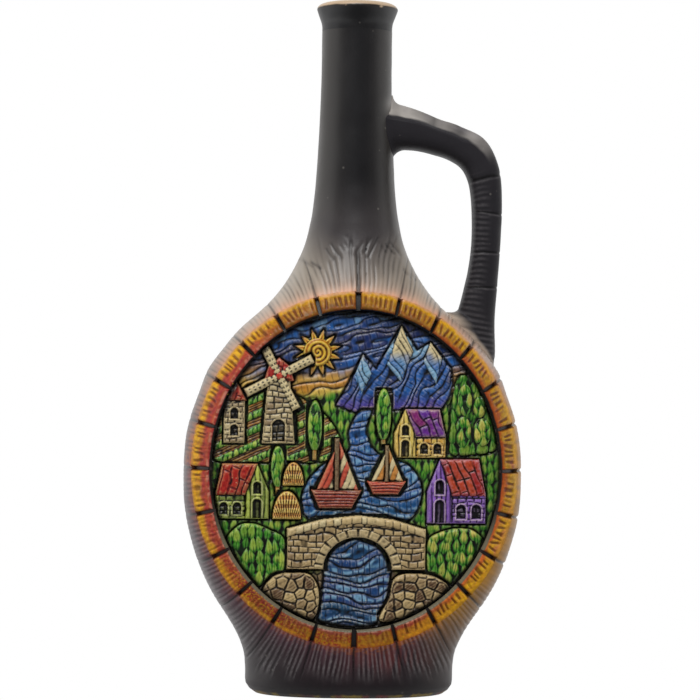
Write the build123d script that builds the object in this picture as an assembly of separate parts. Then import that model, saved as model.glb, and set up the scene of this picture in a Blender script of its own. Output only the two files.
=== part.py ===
from build123d import *
import math
import os

# A flattened round flask of fired clay with a tall narrow neck and one strap handle.
# The front carries a sunk oval medallion with a moulded relief, framed by clay blocks.
# Lengths are in millimetres. Z is up, the front faces -Y and the handle is on +X.

# Foot
foot_width = 89.0
foot_depth = 55.6
foot_height = 13.0
foot_bevel_width = 2.8
foot_bevel_height = 3.4
foot_squareness = 2.4

# Flask, from the waist above the foot to the neck seat
belly_width = 144.0
belly_depth = 73.0
belly_rise = 79.7
shoulder_rise = 107.3
belly_squareness = 4.0

# Neck and lip
neck_seat_width = 37.8
neck_width = 30.2
neck_height = 83.0
lip_width = 34.8
lip_height = 12.0
lip_crown_width = 3.9
lip_seat_width = 24.6

# Walls and bore
wall = 5.0
floor_thickness = 6.0
bore_width = 19.0
bore_length = 50.0
mouth_rounding = 1.2
lap_length = 4.0
base_ledge = 1.5

# Medallion: an oval well in the front, with a plaque resting on a ledge
medallion_side_margin = 10.3
medallion_lower_margin = 16.0
medallion_upper_margin = 36.5
medallion_well_depth = 10.5
plaque_thickness = 5.0
plaque_clearance = 0.3
ledge_width = 3.0
ledge_thickness = 2.5
collar_wall = 4.0

# Frame of blocks round the medallion
block_count = 24
block_band = 7.5
block_gap = 1.1

# Strap handle
strap_reach = 57.1
strap_thickness = 12.5
strap_depth = 16.5
strap_low_z = 134.0
strap_rise = 110.5
strap_squareness = 2.8
strap_groove_width = 1.2
strap_groove_depth = 0.8

# Relief
relief_low = 1.0
relief_middle = 1.9
relief_high = 2.8
relief_top = 3.5
pocket_depth = 0.9
relief_edge_margin = 0.6

# Points on each section, and how far cutting shapes run past what they cut
section_points = 32
overrun = 5.0

# Places along the height
waist_z = foot_height
belly_z = waist_z + belly_rise
neck_seat_z = belly_z + shoulder_rise
lip_z = neck_seat_z + neck_height
top_z = lip_z + lip_height
bore_low_z = top_z - bore_length

medallion_half_width = belly_width / 2 - medallion_side_margin
medallion_low_z = waist_z + medallion_lower_margin
medallion_high_z = neck_seat_z - medallion_upper_margin
medallion_half_height = (medallion_high_z - medallion_low_z) / 2
medallion_z = (medallion_high_z + medallion_low_z) / 2
medallion_ground_y = belly_depth / 2 - medallion_well_depth

# Rows of height, width, depth and squareness shares.
# Below the belly they run from the waist to the belly, above it from the belly to the neck seat.
lower_shares = [
    (0.055, 0.033, 0.080, 0.02),
    (0.109, 0.088, 0.207, 0.08),
    (0.217, 0.253, 0.437, 0.27),
    (0.325, 0.458, 0.620, 0.45),
    (0.487, 0.703, 0.816, 0.70),
    (0.649, 0.868, 0.931, 0.88),
    (0.810, 0.971, 0.977, 1.00),
]
upper_shares = [
    (0.140, 0.985, 0.994, 1.00),
    (0.260, 0.928, 0.977, 0.96),
    (0.340, 0.870, 0.955, 0.90),
    (0.420, 0.808, 0.920, 0.81),
    (0.500, 0.693, 0.869, 0.70),
    (0.581, 0.559, 0.801, 0.55),
    (0.661, 0.380, 0.705, 0.35),
    (0.741, 0.235, 0.551, 0.20),
    (0.821, 0.134, 0.352, 0.10),
    (0.901, 0.060, 0.165, 0.03),
]
# Rows of height and width shares from the neck seat to the lip, and the slope at the seat.
neck_shares = [
    (0.00, 1.00),
    (0.18, 0.57),
    (0.38, 0.30),
    (0.64, 0.07),
    (1.00, 0.00),
]
neck_seat_slope_share = -0.24
# Rows of height and flare shares from the lip's foot to its widest line.
lip_shares = [
    (0.00, 0.00),
    (0.30, 0.12),
    (0.57, 0.62),
    (0.78, 1.00),
]
neck_void_slope_share = -0.36
# Rows along the handle's middle line, from the shoulder to the neck: reach and rise shares.
strap_line_shares = [
    (0.865, 0.000),
    (0.915, 0.208),
    (0.970, 0.393),
    (1.000, 0.624),
    (0.993, 0.728),
    (0.970, 0.801),
    (0.914, 0.860),
    (0.806, 0.908),
    (0.640, 0.946),
    (0.480, 0.973),
    (0.280, 0.990),
    (0.120, 1.000),
]
# Thickness and depth shares at even steps along that line.
strap_size_shares = [
    (1.76, 1.20),
    (1.68, 1.17),
    (1.34, 1.06),
    (1.12, 1.01),
    (1.00, 1.00),
    (1.00, 1.00),
    (1.06, 1.00),
    (1.16, 1.02),
    (1.20, 1.05),
    (1.36, 1.10),
    (1.64, 1.15),
    (1.84, 1.18),
]
strap_groove_rise_shares = [0.362, 0.498, 0.652, 0.778]

# The relief's motifs, in shares of the medallion's half width and half height from its centre.
# Each outline is a list of corners, and a box is left, low, right and high.
sun_centre_shares = (-0.27, 0.73)
sun_radius_share = 0.095
sun_ray_share = 0.165
sun_ray_count = 12
mountain_shares = [
    (-0.14, 0.40), (-0.06, 0.53), (0.04, 0.72), (0.13, 0.63), (0.30, 0.90), (0.41, 0.75),
    (0.50, 0.80), (0.64, 0.64), (0.66, 0.50), (0.58, 0.38), (0.30, 0.38), (0.05, 0.34),
]
mountain_face_shares = [
    [(0.04, 0.72), (0.10, 0.60), (0.03, 0.47), (-0.02, 0.58)],
    [(0.30, 0.90), (0.38, 0.74), (0.30, 0.55), (0.20, 0.66)],
    [(0.50, 0.80), (0.58, 0.70), (0.54, 0.54), (0.45, 0.68)],
]
vineyard_shares = [
    (-0.97, 0.06), (-0.95, 0.26), (-0.85, 0.43), (-0.70, 0.50), (-0.50, 0.49), (-0.30, 0.40),
    (-0.16, 0.28), (-0.10, 0.12), (-0.24, 0.05), (-0.60, 0.04),
]
vineyard_row_count = 7
vineyard_row_start_share = 0.14
vineyard_row_pitch_share = 0.085
vineyard_row_width_share = 0.045
vineyard_row_tilt = 24.0
grove_shares = [
    (0.65, 0.42), (0.64, 0.28), (0.64, 0.11), (0.80, 0.10), (0.96, 0.14), (0.95, 0.30),
    (0.87, 0.47), (0.77, 0.59), (0.69, 0.58),
]
grove_tree_shares = [
    (0.73, 0.24, 0.055, 0.10), (0.86, 0.24, 0.060, 0.09), (0.74, 0.44, 0.050, 0.10),
    (0.84, 0.40, 0.045, 0.07),
]
lake_shares = [
    (0.02, 0.36), (0.10, 0.37), (0.07, 0.24), (0.15, 0.10), (0.36, 0.03), (0.45, -0.10),
    (0.42, -0.26), (0.30, -0.38), (0.25, -0.62), (0.22, -0.80), (0.12, -0.98), (-0.22, -0.97),
    (-0.22, -0.80), (-0.21, -0.62), (-0.27, -0.38), (-0.36, -0.25), (-0.34, -0.10), (-0.22, 0.03),
    (-0.05, 0.11), (-0.05, 0.24),
]
mill_tower_shares = [(-0.64, 0.16), (-0.42, 0.16), (-0.455, 0.55), (-0.605, 0.55)]
mill_cap_shares = [(-0.63, 0.55), (-0.43, 0.55), (-0.46, 0.64), (-0.53, 0.69), (-0.60, 0.64)]
mill_door_shares = (-0.57, 0.17, -0.49, 0.30)
mill_hub_shares = (-0.53, 0.58)
mill_sail_length_share = 0.25
mill_sail_width_share = 0.05
mill_sail_turn = 28.0
bridge_shares = [
    (-0.46, -0.62), (-0.46, -0.37), (-0.22, -0.31), (0.02, -0.285), (0.26, -0.31), (0.48, -0.37),
    (0.48, -0.62),
]
parapet_share = 0.05
bridge_arch_centre_shares = (0.02, -0.62)
bridge_arch_radius_shares = (0.235, 0.20)
boulder_shares = {
    "left": [
        (-0.62, -0.76), (-0.55, -0.67), (-0.44, -0.645), (-0.30, -0.66), (-0.24, -0.78),
        (-0.28, -0.93), (-0.42, -0.89), (-0.54, -0.83),
    ],
    "right": [
        (0.18, -0.94), (0.24, -0.80), (0.28, -0.67), (0.42, -0.645), (0.56, -0.67),
        (0.65, -0.74), (0.56, -0.82), (0.40, -0.91),
    ],
}
bush_shares = {
    "left": [
        (-0.87, -0.46), (-0.80, -0.36), (-0.70, -0.34), (-0.58, -0.38), (-0.48, -0.44),
        (-0.48, -0.62), (-0.57, -0.67), (-0.66, -0.73), (-0.76, -0.62),
    ],
    "right": [
        (0.50, -0.62), (0.50, -0.44), (0.60, -0.38), (0.72, -0.36), (0.82, -0.38),
        (0.88, -0.46), (0.79, -0.60), (0.68, -0.71), (0.58, -0.67),
    ],
}
poplar_box_shares = {
    "shore": (0.135, 0.13, 0.235, 0.50),
    "vineyard": (-0.33, 0.06, -0.235, 0.42),
    "hay": (-0.575, -0.16, -0.485, 0.14),
}
trunk_shares = (0.36, 0.00, 0.64, 0.16)
dovecote_box_shares = (-0.90, 0.16, -0.76, 0.56)
dovecote_roof_share = 0.66
dovecote_window_shares = [(0.36, 0.14, 0.64, 0.26), (0.36, 0.40, 0.64, 0.52)]
# Cottages by name: box, side that the gable end is on, share of the width that the gable takes.
cottage_shares = {
    "upper": ((0.26, 0.08, 0.61, 0.38), -1, 0.42),
    "left": ((-0.95, -0.31, -0.59, 0.03), 1, 0.44),
    "right": ((0.49, -0.33, 0.89, 0.07), -1, 0.42),
}
# Parts of a cottage in shares of its own box: eave height, doors and windows.
eave_share = 0.50
roof_drop_share = 0.07
cottage_window_shares = [(0.16, 0.14, 0.40, 0.38), (0.60, 0.14, 0.84, 0.38)]
gable_door_shares = (0.34, 0.00, 0.66, 0.34)
gable_window_shares = (0.36, 0.46, 0.64, 0.66)
# Boats by name: box, with the mast at its middle.
boat_box_shares = {
    "near": (-0.30, -0.24, 0.04, 0.19),
    "far": (0.08, -0.15, 0.34, 0.15),
}
hull_height_share = 0.26
keel_shares = (0.16, 0.80)
mast_width_share = 0.07
main_sail_foot_share = 0.94
fore_sail_foot_share = 0.10
fore_sail_head_share = 0.86
hay_shares = {
    "near": (-0.465, -0.31, 0.095, 0.17),
    "far": (-0.425, -0.10, 0.070, 0.14),
}


def between(low, high, share):
    return low + (high - low) * share


def box_between(low, high):
    # A block between two opposite corners.
    size = [far - near for near, far in zip(low, high)]
    return Pos(*low) * Box(*size, align=(Align.MIN, Align.MIN, Align.MIN))


def section(half_width, half_depth, squareness, plane):
    # A superellipse: each coordinate is its half size times cos or sin to the power 2 / squareness.
    power = 2 / squareness
    points = []
    for index in range(section_points):
        angle = math.tau * index / section_points
        across = math.copysign(abs(math.cos(angle)) ** power, math.cos(angle))
        deep = math.copysign(abs(math.sin(angle)) ** power, math.sin(angle))
        points.append((half_width * across, half_depth * deep))
    return plane * make_face(Spline(points, periodic=True))


def level(z):
    return Plane.XY.offset(z)


def vessel_rows():
    # Height, half width, half depth and squareness of the outside, from the waist to the neck seat.
    rows = [(waist_z, foot_width / 2, foot_depth / 2, foot_squareness)]
    for height, width, depth, square in lower_shares:
        rows.append((
            between(waist_z, belly_z, height),
            between(foot_width, belly_width, width) / 2,
            between(foot_depth, belly_depth, depth) / 2,
            between(foot_squareness, belly_squareness, square),
        ))
    rows.append((belly_z, belly_width / 2, belly_depth / 2, belly_squareness))
    for height, width, depth, square in upper_shares:
        rows.append((
            between(belly_z, neck_seat_z, height),
            between(neck_seat_width, belly_width, width) / 2,
            between(neck_seat_width, belly_depth, depth) / 2,
            between(2, belly_squareness, square),
        ))
    rows.append((neck_seat_z, neck_seat_width / 2, neck_seat_width / 2, 2))
    return rows


def form(inset):
    # The outside drawn in by an inset, from the waist to the neck seat.
    sections = []
    for z, half_width, half_depth, squareness in vessel_rows():
        sections.append(section(half_width - inset, half_depth - inset, squareness, level(z)))
    return loft(sections)


def neck_form():
    # The round outside of the neck, turned about the upright axis.
    rim = []
    for height, width in neck_shares:
        rim.append((between(neck_width, neck_seat_width, width) / 2, between(neck_seat_z, lip_z, height)))
    side = Spline(rim, tangents=[(neck_seat_slope_share, 1), (0, 1)])
    rest = Polyline(rim[-1], (0, lip_z), (0, neck_seat_z), rim[0])
    return revolve(Plane.XZ * make_face(side + rest), Axis.Z)


def front_of(solid):
    reach = belly_width
    return solid & box_between((-reach, -reach, -reach), (reach, 0, top_z + reach))


def foot_section(inset, z):
    # The foot's outline drawn in by an inset.
    return section(foot_width / 2 - inset, foot_depth / 2 - inset, foot_squareness, level(z))


def foot_slab(inset, low_z, high_z):
    return extrude(foot_section(inset, low_z), high_z - low_z)


def medallion_prism(growth, low_y, high_y):
    # The medallion's oval grown all round, as a straight prism between two depths.
    plane = Plane(origin=(0, high_y, medallion_z), x_dir=(1, 0, 0), z_dir=(0, -1, 0))
    oval = Ellipse(medallion_half_width + growth, medallion_half_height + growth)
    return extrude(plane * oval, high_y - low_y)


def ring_bars():
    # Bars through the medallion's centre, one for each pair of opposite gaps between blocks.
    bars = []
    reach = belly_width
    for index in range(block_count // 2):
        angle = math.tau * index / block_count
        across = medallion_half_width * math.sin(angle)
        up = medallion_half_height * math.cos(angle)
        turn = math.degrees(math.atan2(across, up))
        bar = Box(block_gap, 2 * reach, 2 * reach)
        bars.append(Pos(0, 0, medallion_z) * Rot(0, turn, 0) * bar)
    return bars


def make_blocks(channel):
    # The clay blocks round the medallion, counted clockwise from the top.

    def clock(block):
        centre = block.center()
        return math.atan2(centre.X, centre.Z - medallion_z) % math.tau

    return sorted((channel - ring_bars()).solids(), key=clock)


def neck_void():
    # The inside of the neck: it narrows from the seat to the straight bore.
    seat_radius = neck_seat_width / 2 - wall
    bore_radius = bore_width / 2
    low_z = neck_seat_z - lap_length
    taper = Spline(
        [(seat_radius, low_z), (bore_radius, bore_low_z)],
        tangents=[(neck_void_slope_share, 1), (0, 1)],
    )
    rest = Polyline(
        (bore_radius, bore_low_z),
        (bore_radius, top_z + overrun),
        (0, top_z + overrun),
        (0, low_z),
        (seat_radius, low_z),
    )
    return revolve(Plane.XZ * make_face(taper + rest), Axis.Z)


def strap_line():
    # The handle's middle line, in the plane of the flask's width.
    points = []
    for reach, rise in strap_line_shares:
        points.append((strap_reach * reach, 0, strap_low_z + strap_rise * rise))
    return Spline(points)


def make_handle(solid):
    # A strap of oval sections square to its line, trimmed where it meets the flask and the neck.
    line = strap_line()
    last = len(strap_size_shares) - 1
    sections = []
    for index, (thickness, depth) in enumerate(strap_size_shares):
        plane = Plane(origin=line @ (index / last), x_dir=(0, 1, 0), z_dir=line % (index / last))
        sections.append(
            section(strap_depth * depth / 2, strap_thickness * thickness / 2, strap_squareness, plane)
        )
    return loft(sections) - solid - strap_grooves(line)


def strap_grooves(line):
    # Level grooves round the upright part of the handle.
    grooves = []
    for rise in strap_groove_rise_shares:
        z = strap_low_z + strap_rise * rise
        core = section(
            strap_thickness / 2 - strap_groove_depth, strap_depth / 2 - strap_groove_depth,
            strap_squareness, level(z - strap_groove_width / 2),
        )
        centre = line.intersect(level(z))[0]
        slab = Pos(0, 0, z) * Box(2 * belly_width, belly_width, strap_groove_width)
        grooves.append(slab - Pos(centre.X, 0, 0) * extrude(core, strap_groove_width))
    return grooves


def make_foot_ring():
    # A bevelled ring that carries the base plate on a ledge and a tongue for the flask above.
    bevel = loft([foot_section(foot_bevel_width, 0), foot_section(0, foot_bevel_height)], ruled=True)
    ring = bevel + foot_slab(0, foot_bevel_height, waist_z) + foot_tongue()
    return ring - foot_slab(wall, floor_thickness, waist_z + lap_length) - base_plate_solid()


def foot_tongue():
    # The upright tongue that the flask sits round.
    return foot_slab(wall / 2, waist_z, waist_z + lap_length)


def base_plate_solid():
    # The floor of the flask: its upper step rests on the ring's ledge.
    lower = foot_slab(wall, 0, floor_thickness / 2)
    upper = foot_slab(wall - base_ledge, floor_thickness / 2, floor_thickness)
    return lower + upper


def spot(shares):
    # A place on the medallion from its shares.
    return (shares[0] * medallion_half_width, shares[1] * medallion_half_height)


def patch(corners):
    return make_face(Polyline(*[spot(corner) for corner in corners], close=True))


def blob(corners):
    return make_face(Spline(*[spot(corner) for corner in corners], periodic=True))


def oval(across, up, half_width, half_height):
    size = spot((half_width, half_height))
    return Pos(*spot((across, up))) * Ellipse(*size)


def part_of(box, shares):
    # A smaller box given in shares of a box.
    left, low, right, high = box
    return (
        between(left, right, shares[0]), between(low, high, shares[1]),
        between(left, right, shares[2]), between(low, high, shares[3]),
    )


def box_patch(box):
    left, low, right, high = box
    return patch([(left, low), (right, low), (right, high), (left, high)])


def sun():
    across, up = spot(sun_centre_shares)
    corners = []
    for index in range(2 * sun_ray_count):
        reach = (sun_radius_share, sun_ray_share)[index % 2] * medallion_half_width
        angle = math.tau * index / (2 * sun_ray_count)
        corners.append((across + reach * math.cos(angle), up + reach * math.sin(angle)))
    rays = make_face(Polyline(*corners, close=True))
    disc = Pos(across, up) * Circle(sun_radius_share * medallion_half_width)
    return [(relief_low, rays), (relief_middle, disc)], []


def mountains():
    layers = [(relief_low, patch(mountain_shares))]
    for corners in mountain_face_shares:
        layers.append((relief_middle, patch(corners)))
    return layers, []


def vineyard():
    hill = blob(vineyard_shares)
    layers = [(relief_low, hill)]
    row_width = vineyard_row_width_share * medallion_half_height
    for index in range(vineyard_row_count):
        up = (vineyard_row_start_share + vineyard_row_pitch_share * index) * medallion_half_height
        row = Pos(-medallion_half_width / 2, up) * Rectangle(2 * medallion_half_width, row_width)
        layers.append((relief_middle, hill & (Rot(0, 0, vineyard_row_tilt) * row)))
    return layers, []


def grove():
    layers = [(relief_low, blob(grove_shares))]
    for tree in grove_tree_shares:
        layers.append((relief_middle, oval(*tree)))
    return layers, []


def lake():
    return [(relief_low, blob(lake_shares))], []


def windmill():
    layers = [(relief_high, patch(mill_tower_shares)), (relief_top, patch(mill_cap_shares))]
    length = mill_sail_length_share * medallion_half_width
    width = mill_sail_width_share * medallion_half_width
    hub = Pos(*spot(mill_hub_shares))
    for turn in (mill_sail_turn, mill_sail_turn + 90):
        layers.append((relief_top, hub * Rot(0, 0, turn) * Rectangle(2 * length, width)))
    return layers, [box_patch(mill_door_shares)]


def dovecote():
    left, low, right, high = dovecote_box_shares
    eave = between(low, high, dovecote_roof_share)
    middle = (left + right) / 2
    overhang = (right - left) * roof_drop_share
    roof = patch([(left - overhang, eave), (right + overhang, eave), (middle, high)])
    windows = [box_patch(part_of(dovecote_box_shares, share)) for share in dovecote_window_shares]
    return [(relief_high, box_patch((left, low, right, eave))), (relief_top, roof)], windows


def cottage(box, side, gable_share):
    # A house seen from a corner: the gable end, then the long wall under the roof's slope.
    left, low, right, high = box
    near, far = (right, left) if side > 0 else (left, right)
    corner = between(near, far, gable_share)
    peak = (near + corner) / 2
    eave = between(low, high, eave_share)
    drop = (high - low) * roof_drop_share
    gable = patch([(near, low), (corner, low), (corner, eave), (peak, high), (near, eave)])
    wall_face = patch([(corner, low), (far, low), (far, eave), (corner, eave)])
    ridge_end = between(far, corner, (peak - corner) / (near - far))
    roof = patch([(corner, eave - drop), (far, eave - drop), (ridge_end, high), (peak, high)])
    wall_box = (min(corner, far), low, max(corner, far), eave)
    gable_box = (min(corner, near), low, max(corner, near), high)
    pockets = [box_patch(part_of(wall_box, share)) for share in cottage_window_shares]
    pockets.append(box_patch(part_of(gable_box, gable_door_shares)))
    pockets.append(box_patch(part_of(gable_box, gable_window_shares)))
    return [(relief_middle, gable + wall_face), (relief_high, roof)], pockets


def boat(box):
    left, low, right, high = box
    deck = between(low, high, hull_height_share)
    middle = (left + right) / 2
    mast = (right - left) * mast_width_share / 2
    bow, stern = [between(left, right, share) for share in keel_shares]
    hull = patch([(left, deck), (bow, low), (stern, low), (right, deck)])
    pole = box_patch((middle - mast, deck, middle + mast, high))
    main_foot = between(left, right, main_sail_foot_share)
    main_sail = patch([(middle + mast, deck), (main_foot, deck), (middle + mast, high)])
    fore_foot = between(left, right, fore_sail_foot_share)
    fore_head = between(low, high, fore_sail_head_share)
    fore_sail = patch([(middle - mast, deck), (fore_foot, deck), (middle - mast, fore_head)])
    return [(relief_high, hull + pole), (relief_middle, main_sail + fore_sail)], []


def haystack(across, low, half_width, height):
    dome = oval(across, low, half_width, height)
    upper = box_patch((across - half_width, low, across + half_width, low + height))
    return [(relief_high, dome & upper)], []


def poplar(box):
    left, low, right, high = box
    trunk = part_of(box, trunk_shares)
    crown = oval((left + right) / 2, (trunk[3] + high) / 2, (right - left) / 2, (high - trunk[3]) / 2)
    stem = box_patch((trunk[0], trunk[1], trunk[2], (low + high) / 2))
    return [(relief_high, crown), (relief_middle, stem)], []


def bridge():
    arch = oval(*bridge_arch_centre_shares, *bridge_arch_radius_shares)
    walls = patch(bridge_shares) - arch
    top = [(across, up) for across, up in bridge_shares[1:-1]]
    under = [(across, up - parapet_share) for across, up in reversed(top)]
    return [(relief_high, walls), (relief_top, patch(top + under))], []


def relief_motifs():
    # From the nearest motif to the farthest: each one hides what it covers.
    motifs = {"bridge": bridge()}
    for name in ("left", "right"):
        motifs["boulders_" + name] = ([(relief_high, blob(boulder_shares[name]))], [])
        motifs["bush_" + name] = ([(relief_middle, blob(bush_shares[name]))], [])
    motifs["haystack_near"] = haystack(*hay_shares["near"])
    motifs["boat_near"] = boat(boat_box_shares["near"])
    motifs["boat_far"] = boat(boat_box_shares["far"])
    motifs["haystack_far"] = haystack(*hay_shares["far"])
    motifs["poplar_hay"] = poplar(poplar_box_shares["hay"])
    for name in ("left", "right", "upper"):
        motifs["cottage_" + name] = cottage(*cottage_shares[name])
    motifs["poplar_shore"] = poplar(poplar_box_shares["shore"])
    motifs["poplar_vineyard"] = poplar(poplar_box_shares["vineyard"])
    motifs["windmill"] = windmill()
    motifs["dovecote"] = dovecote()
    motifs["vineyard"] = vineyard()
    motifs["grove"] = grove()
    motifs["lake"] = lake()
    motifs["mountains"] = mountains()
    motifs["sun"] = sun()
    return motifs


def make_relief():
    plane = relief_plane()
    margin = relief_edge_margin
    edge = Ellipse(medallion_half_width - margin, medallion_half_height - margin)
    covered = Sketch()
    pieces = {}
    for name, (layers, pockets) in relief_motifs().items():
        piece = Part()
        footprint = Sketch()
        top = max(height for height, _ in layers)
        for height, face in layers:
            shown = (face & edge) - covered
            piece = piece + extrude(plane * shown, height)
            footprint = footprint + face
        for face in pockets:
            deep = plane.offset(min(height for height, _ in layers) - pocket_depth)
            piece = piece - extrude(deep * face, top)
        covered = covered + footprint
        pieces["relief_" + name] = piece
    return pieces


def relief_plane():
    # The plaque's face, seen from the front.
    return Plane(origin=(0, -medallion_ground_y, medallion_z), x_dir=(1, 0, 0), z_dir=(0, -1, 0))


def make_plaque():
    # The oval ground of the relief. It stands on the ledge inside the medallion's collar.
    back_y = plaque_thickness - medallion_ground_y
    return medallion_prism(-plaque_clearance, -medallion_ground_y, back_y)


def make_front_half(shell, outside, channel):
    # The front of the flask, opened for the medallion, with a collar and a ledge inside.
    back_y = plaque_thickness - medallion_ground_y
    front_y = -belly_depth
    collar = medallion_prism(collar_wall, front_y, back_y) & outside
    ledge = medallion_prism(collar_wall, back_y, back_y + ledge_thickness)
    well = medallion_prism(0, front_y, back_y)
    window = medallion_prism(-ledge_width, back_y, back_y + ledge_thickness)
    opening = medallion_prism(0, front_y, back_y + ledge_thickness)
    half = shell - opening + (collar - well) + (ledge - window)
    return half - channel


def round_tongue(width, low_z):
    tongue = Cylinder(width / 2, lap_length, align=(Align.CENTER, Align.CENTER, Align.MIN))
    return Pos(0, 0, low_z) * tongue


def make_neck():
    # A round neck with a tongue below for the flask and one above for the lip.
    neck = neck_form() + round_tongue(neck_seat_width - wall, neck_seat_z - lap_length)
    return neck + round_tongue(lip_seat_width, lip_z) - neck_void()


def make_mouth_ring():
    # A flared ring with a broad rounded rim and a small rounding into the bore.
    bore_radius = bore_width / 2
    throat_radius = bore_radius + mouth_rounding
    side = []
    for height, flare in lip_shares:
        side.append((between(neck_width, lip_width, flare) / 2, between(lip_z, top_z, height)))
    rim = (lip_width / 2 - lip_crown_width, top_z)
    outer = Spline(side, tangents=[(0, 1), (0, 1)])
    crown = Spline([side[-1], rim], tangents=[(0, 1), (-1, 0)])
    flat = Line(rim, (throat_radius, top_z))
    throat = RadiusArc((throat_radius, top_z), (bore_radius, top_z - mouth_rounding), -mouth_rounding)
    inner = Polyline(
        (bore_radius, top_z - mouth_rounding),
        (bore_radius, lip_z + lap_length),
        (lip_seat_width / 2, lip_z + lap_length),
        (lip_seat_width / 2, lip_z),
        side[0],
    )
    return revolve(Plane.XZ * make_face(outer + crown + flat + throat + inner), Axis.Z)


def make_flask_shell(outside, inside):
    # The flask's wall, rebated at the waist and at the neck for their tongues.
    neck_tongue = round_tongue(neck_seat_width - wall, neck_seat_z - lap_length)
    return outside - inside - foot_tongue() - neck_tongue


def make_channel(outside, middle):
    # The shallow band round the medallion that the blocks fill.
    band = medallion_prism(block_band, -belly_depth, 0) - medallion_prism(0, -belly_depth, 0)
    return band & front_of(outside - middle)


def make_pieces():
    # Every piece of the flask by name.
    outside = form(0)
    middle = form(wall / 2)
    inside = form(wall)
    shell = make_flask_shell(outside, inside)
    front_shell = front_of(shell)
    channel = make_channel(outside, middle)
    pieces = {
        "flask_front_half": make_front_half(front_shell, outside, channel),
        "flask_back_half": shell - front_shell,
        "neck": make_neck(),
        "mouth_ring": make_mouth_ring(),
        "handle": make_handle(outside + neck_form()),
        "foot_ring": make_foot_ring(),
        "base_plate": base_plate_solid(),
        "medallion_plaque": make_plaque(),
    }
    for index, block in enumerate(make_blocks(channel)):
        pieces[f"border_block_{index + 1:02d}"] = block
    pieces.update(make_relief())
    return pieces


os.makedirs("parts", exist_ok=True)
for name, piece in make_pieces().items():
    export_step(piece, f"parts/{name}.step")
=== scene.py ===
# A flattened ceramic flask: dark slip, a frame of clay blocks and a painted relief in a sunk oval.
import math

import bpy
import numpy as np
from mathutils import Matrix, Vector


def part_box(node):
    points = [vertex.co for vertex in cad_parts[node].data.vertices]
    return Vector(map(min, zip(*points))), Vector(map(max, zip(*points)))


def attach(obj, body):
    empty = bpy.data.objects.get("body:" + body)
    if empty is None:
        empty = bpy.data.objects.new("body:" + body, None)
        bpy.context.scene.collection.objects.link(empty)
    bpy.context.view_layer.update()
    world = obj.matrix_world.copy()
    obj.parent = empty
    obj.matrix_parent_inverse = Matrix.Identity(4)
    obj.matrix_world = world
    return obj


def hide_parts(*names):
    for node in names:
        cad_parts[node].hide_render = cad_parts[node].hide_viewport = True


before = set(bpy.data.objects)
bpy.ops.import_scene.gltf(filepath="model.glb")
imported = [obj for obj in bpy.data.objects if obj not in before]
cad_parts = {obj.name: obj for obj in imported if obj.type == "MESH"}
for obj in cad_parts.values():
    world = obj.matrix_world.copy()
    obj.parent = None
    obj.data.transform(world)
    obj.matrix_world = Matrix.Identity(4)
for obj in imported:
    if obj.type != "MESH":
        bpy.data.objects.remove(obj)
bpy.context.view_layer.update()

mm = 0.001  # every length below is in millimetres
turn = 2 * math.pi


# Small helpers for whole arrays

def nodeBox(node):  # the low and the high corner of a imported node
    low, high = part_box(node)
    return np.array(low) / mm, np.array(high) / mm


def smooth(low, high, value):  # 0 below low, 1 above high, an S curve between them
    share = np.clip((value - low) / (high - low), 0, 1)
    return share * share * (3 - 2 * share)


def between(value, rise, full, fall, end):  # 1 between full and fall, passing to 0 at rise and at end
    return smooth(rise, full, value) * (1 - smooth(fall, end, value))


def patch(x, z, place, size):  # a round soft patch: it fades with the squares of the distances over its size
    return np.exp(-((x - place[0]) / size[0]) ** 2 - ((z - place[1]) / size[1]) ** 2)


def paint(*rgb):  # a colour picked on the screen, 0 to 255, as linear light
    shade = np.array(rgb, float) / 255
    return np.where(shade <= 0.04045, shade / 12.92, ((shade + 0.055) / 1.055) ** 2.4)


def blend(first, second, share):  # the first colour where share is 0, the second where it is 1
    share = np.asarray(share)[..., None]
    return first * (1 - share) + second * share


def chance(column, row, seed=0):  # a fixed random number from 0 to 1 for each pair of whole numbers
    column, row = np.asarray(column).astype(np.int64), np.asarray(row).astype(np.int64)
    mixed = (column * 374761393 + row * 668265263 + seed * 362437) & 0xFFFFFFFF
    mixed = ((mixed ^ (mixed >> 13)) * 1274126177) & 0xFFFFFFFF
    return ((mixed ^ (mixed >> 16)) & 0xFFFF) / 65535


def cloud(x, y, seed=0):  # value noise: random numbers at whole points, blended by S curves between them
    column, row = np.floor(x), np.floor(y)
    u, v = smooth(0, 1, x - column), smooth(0, 1, y - row)
    low = chance(column, row, seed) * (1 - u) + chance(column + 1, row, seed) * u
    high = chance(column, row + 1, seed) * (1 - u) + chance(column + 1, row + 1, seed) * u
    return low * (1 - v) + high * v


def sway(x, y, seed=0):  # the same noise, from -0.5 to 0.5
    return cloud(x, y, seed) - 0.5


def wave(phase):  # 0 at whole numbers and 1 between them, by a cosine
    return 0.5 - 0.5 * np.cos(turn * phase)


def roundness(across, forward, square):  # how far a superellipse reaches in a direction, for half widths of 1
    return (np.abs(across) ** square + np.abs(forward) ** square) ** (-1 / square)


def runOf(steps):  # the length so far, from 0, along steps
    return np.concatenate([[0], np.cumsum(steps)])


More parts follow.
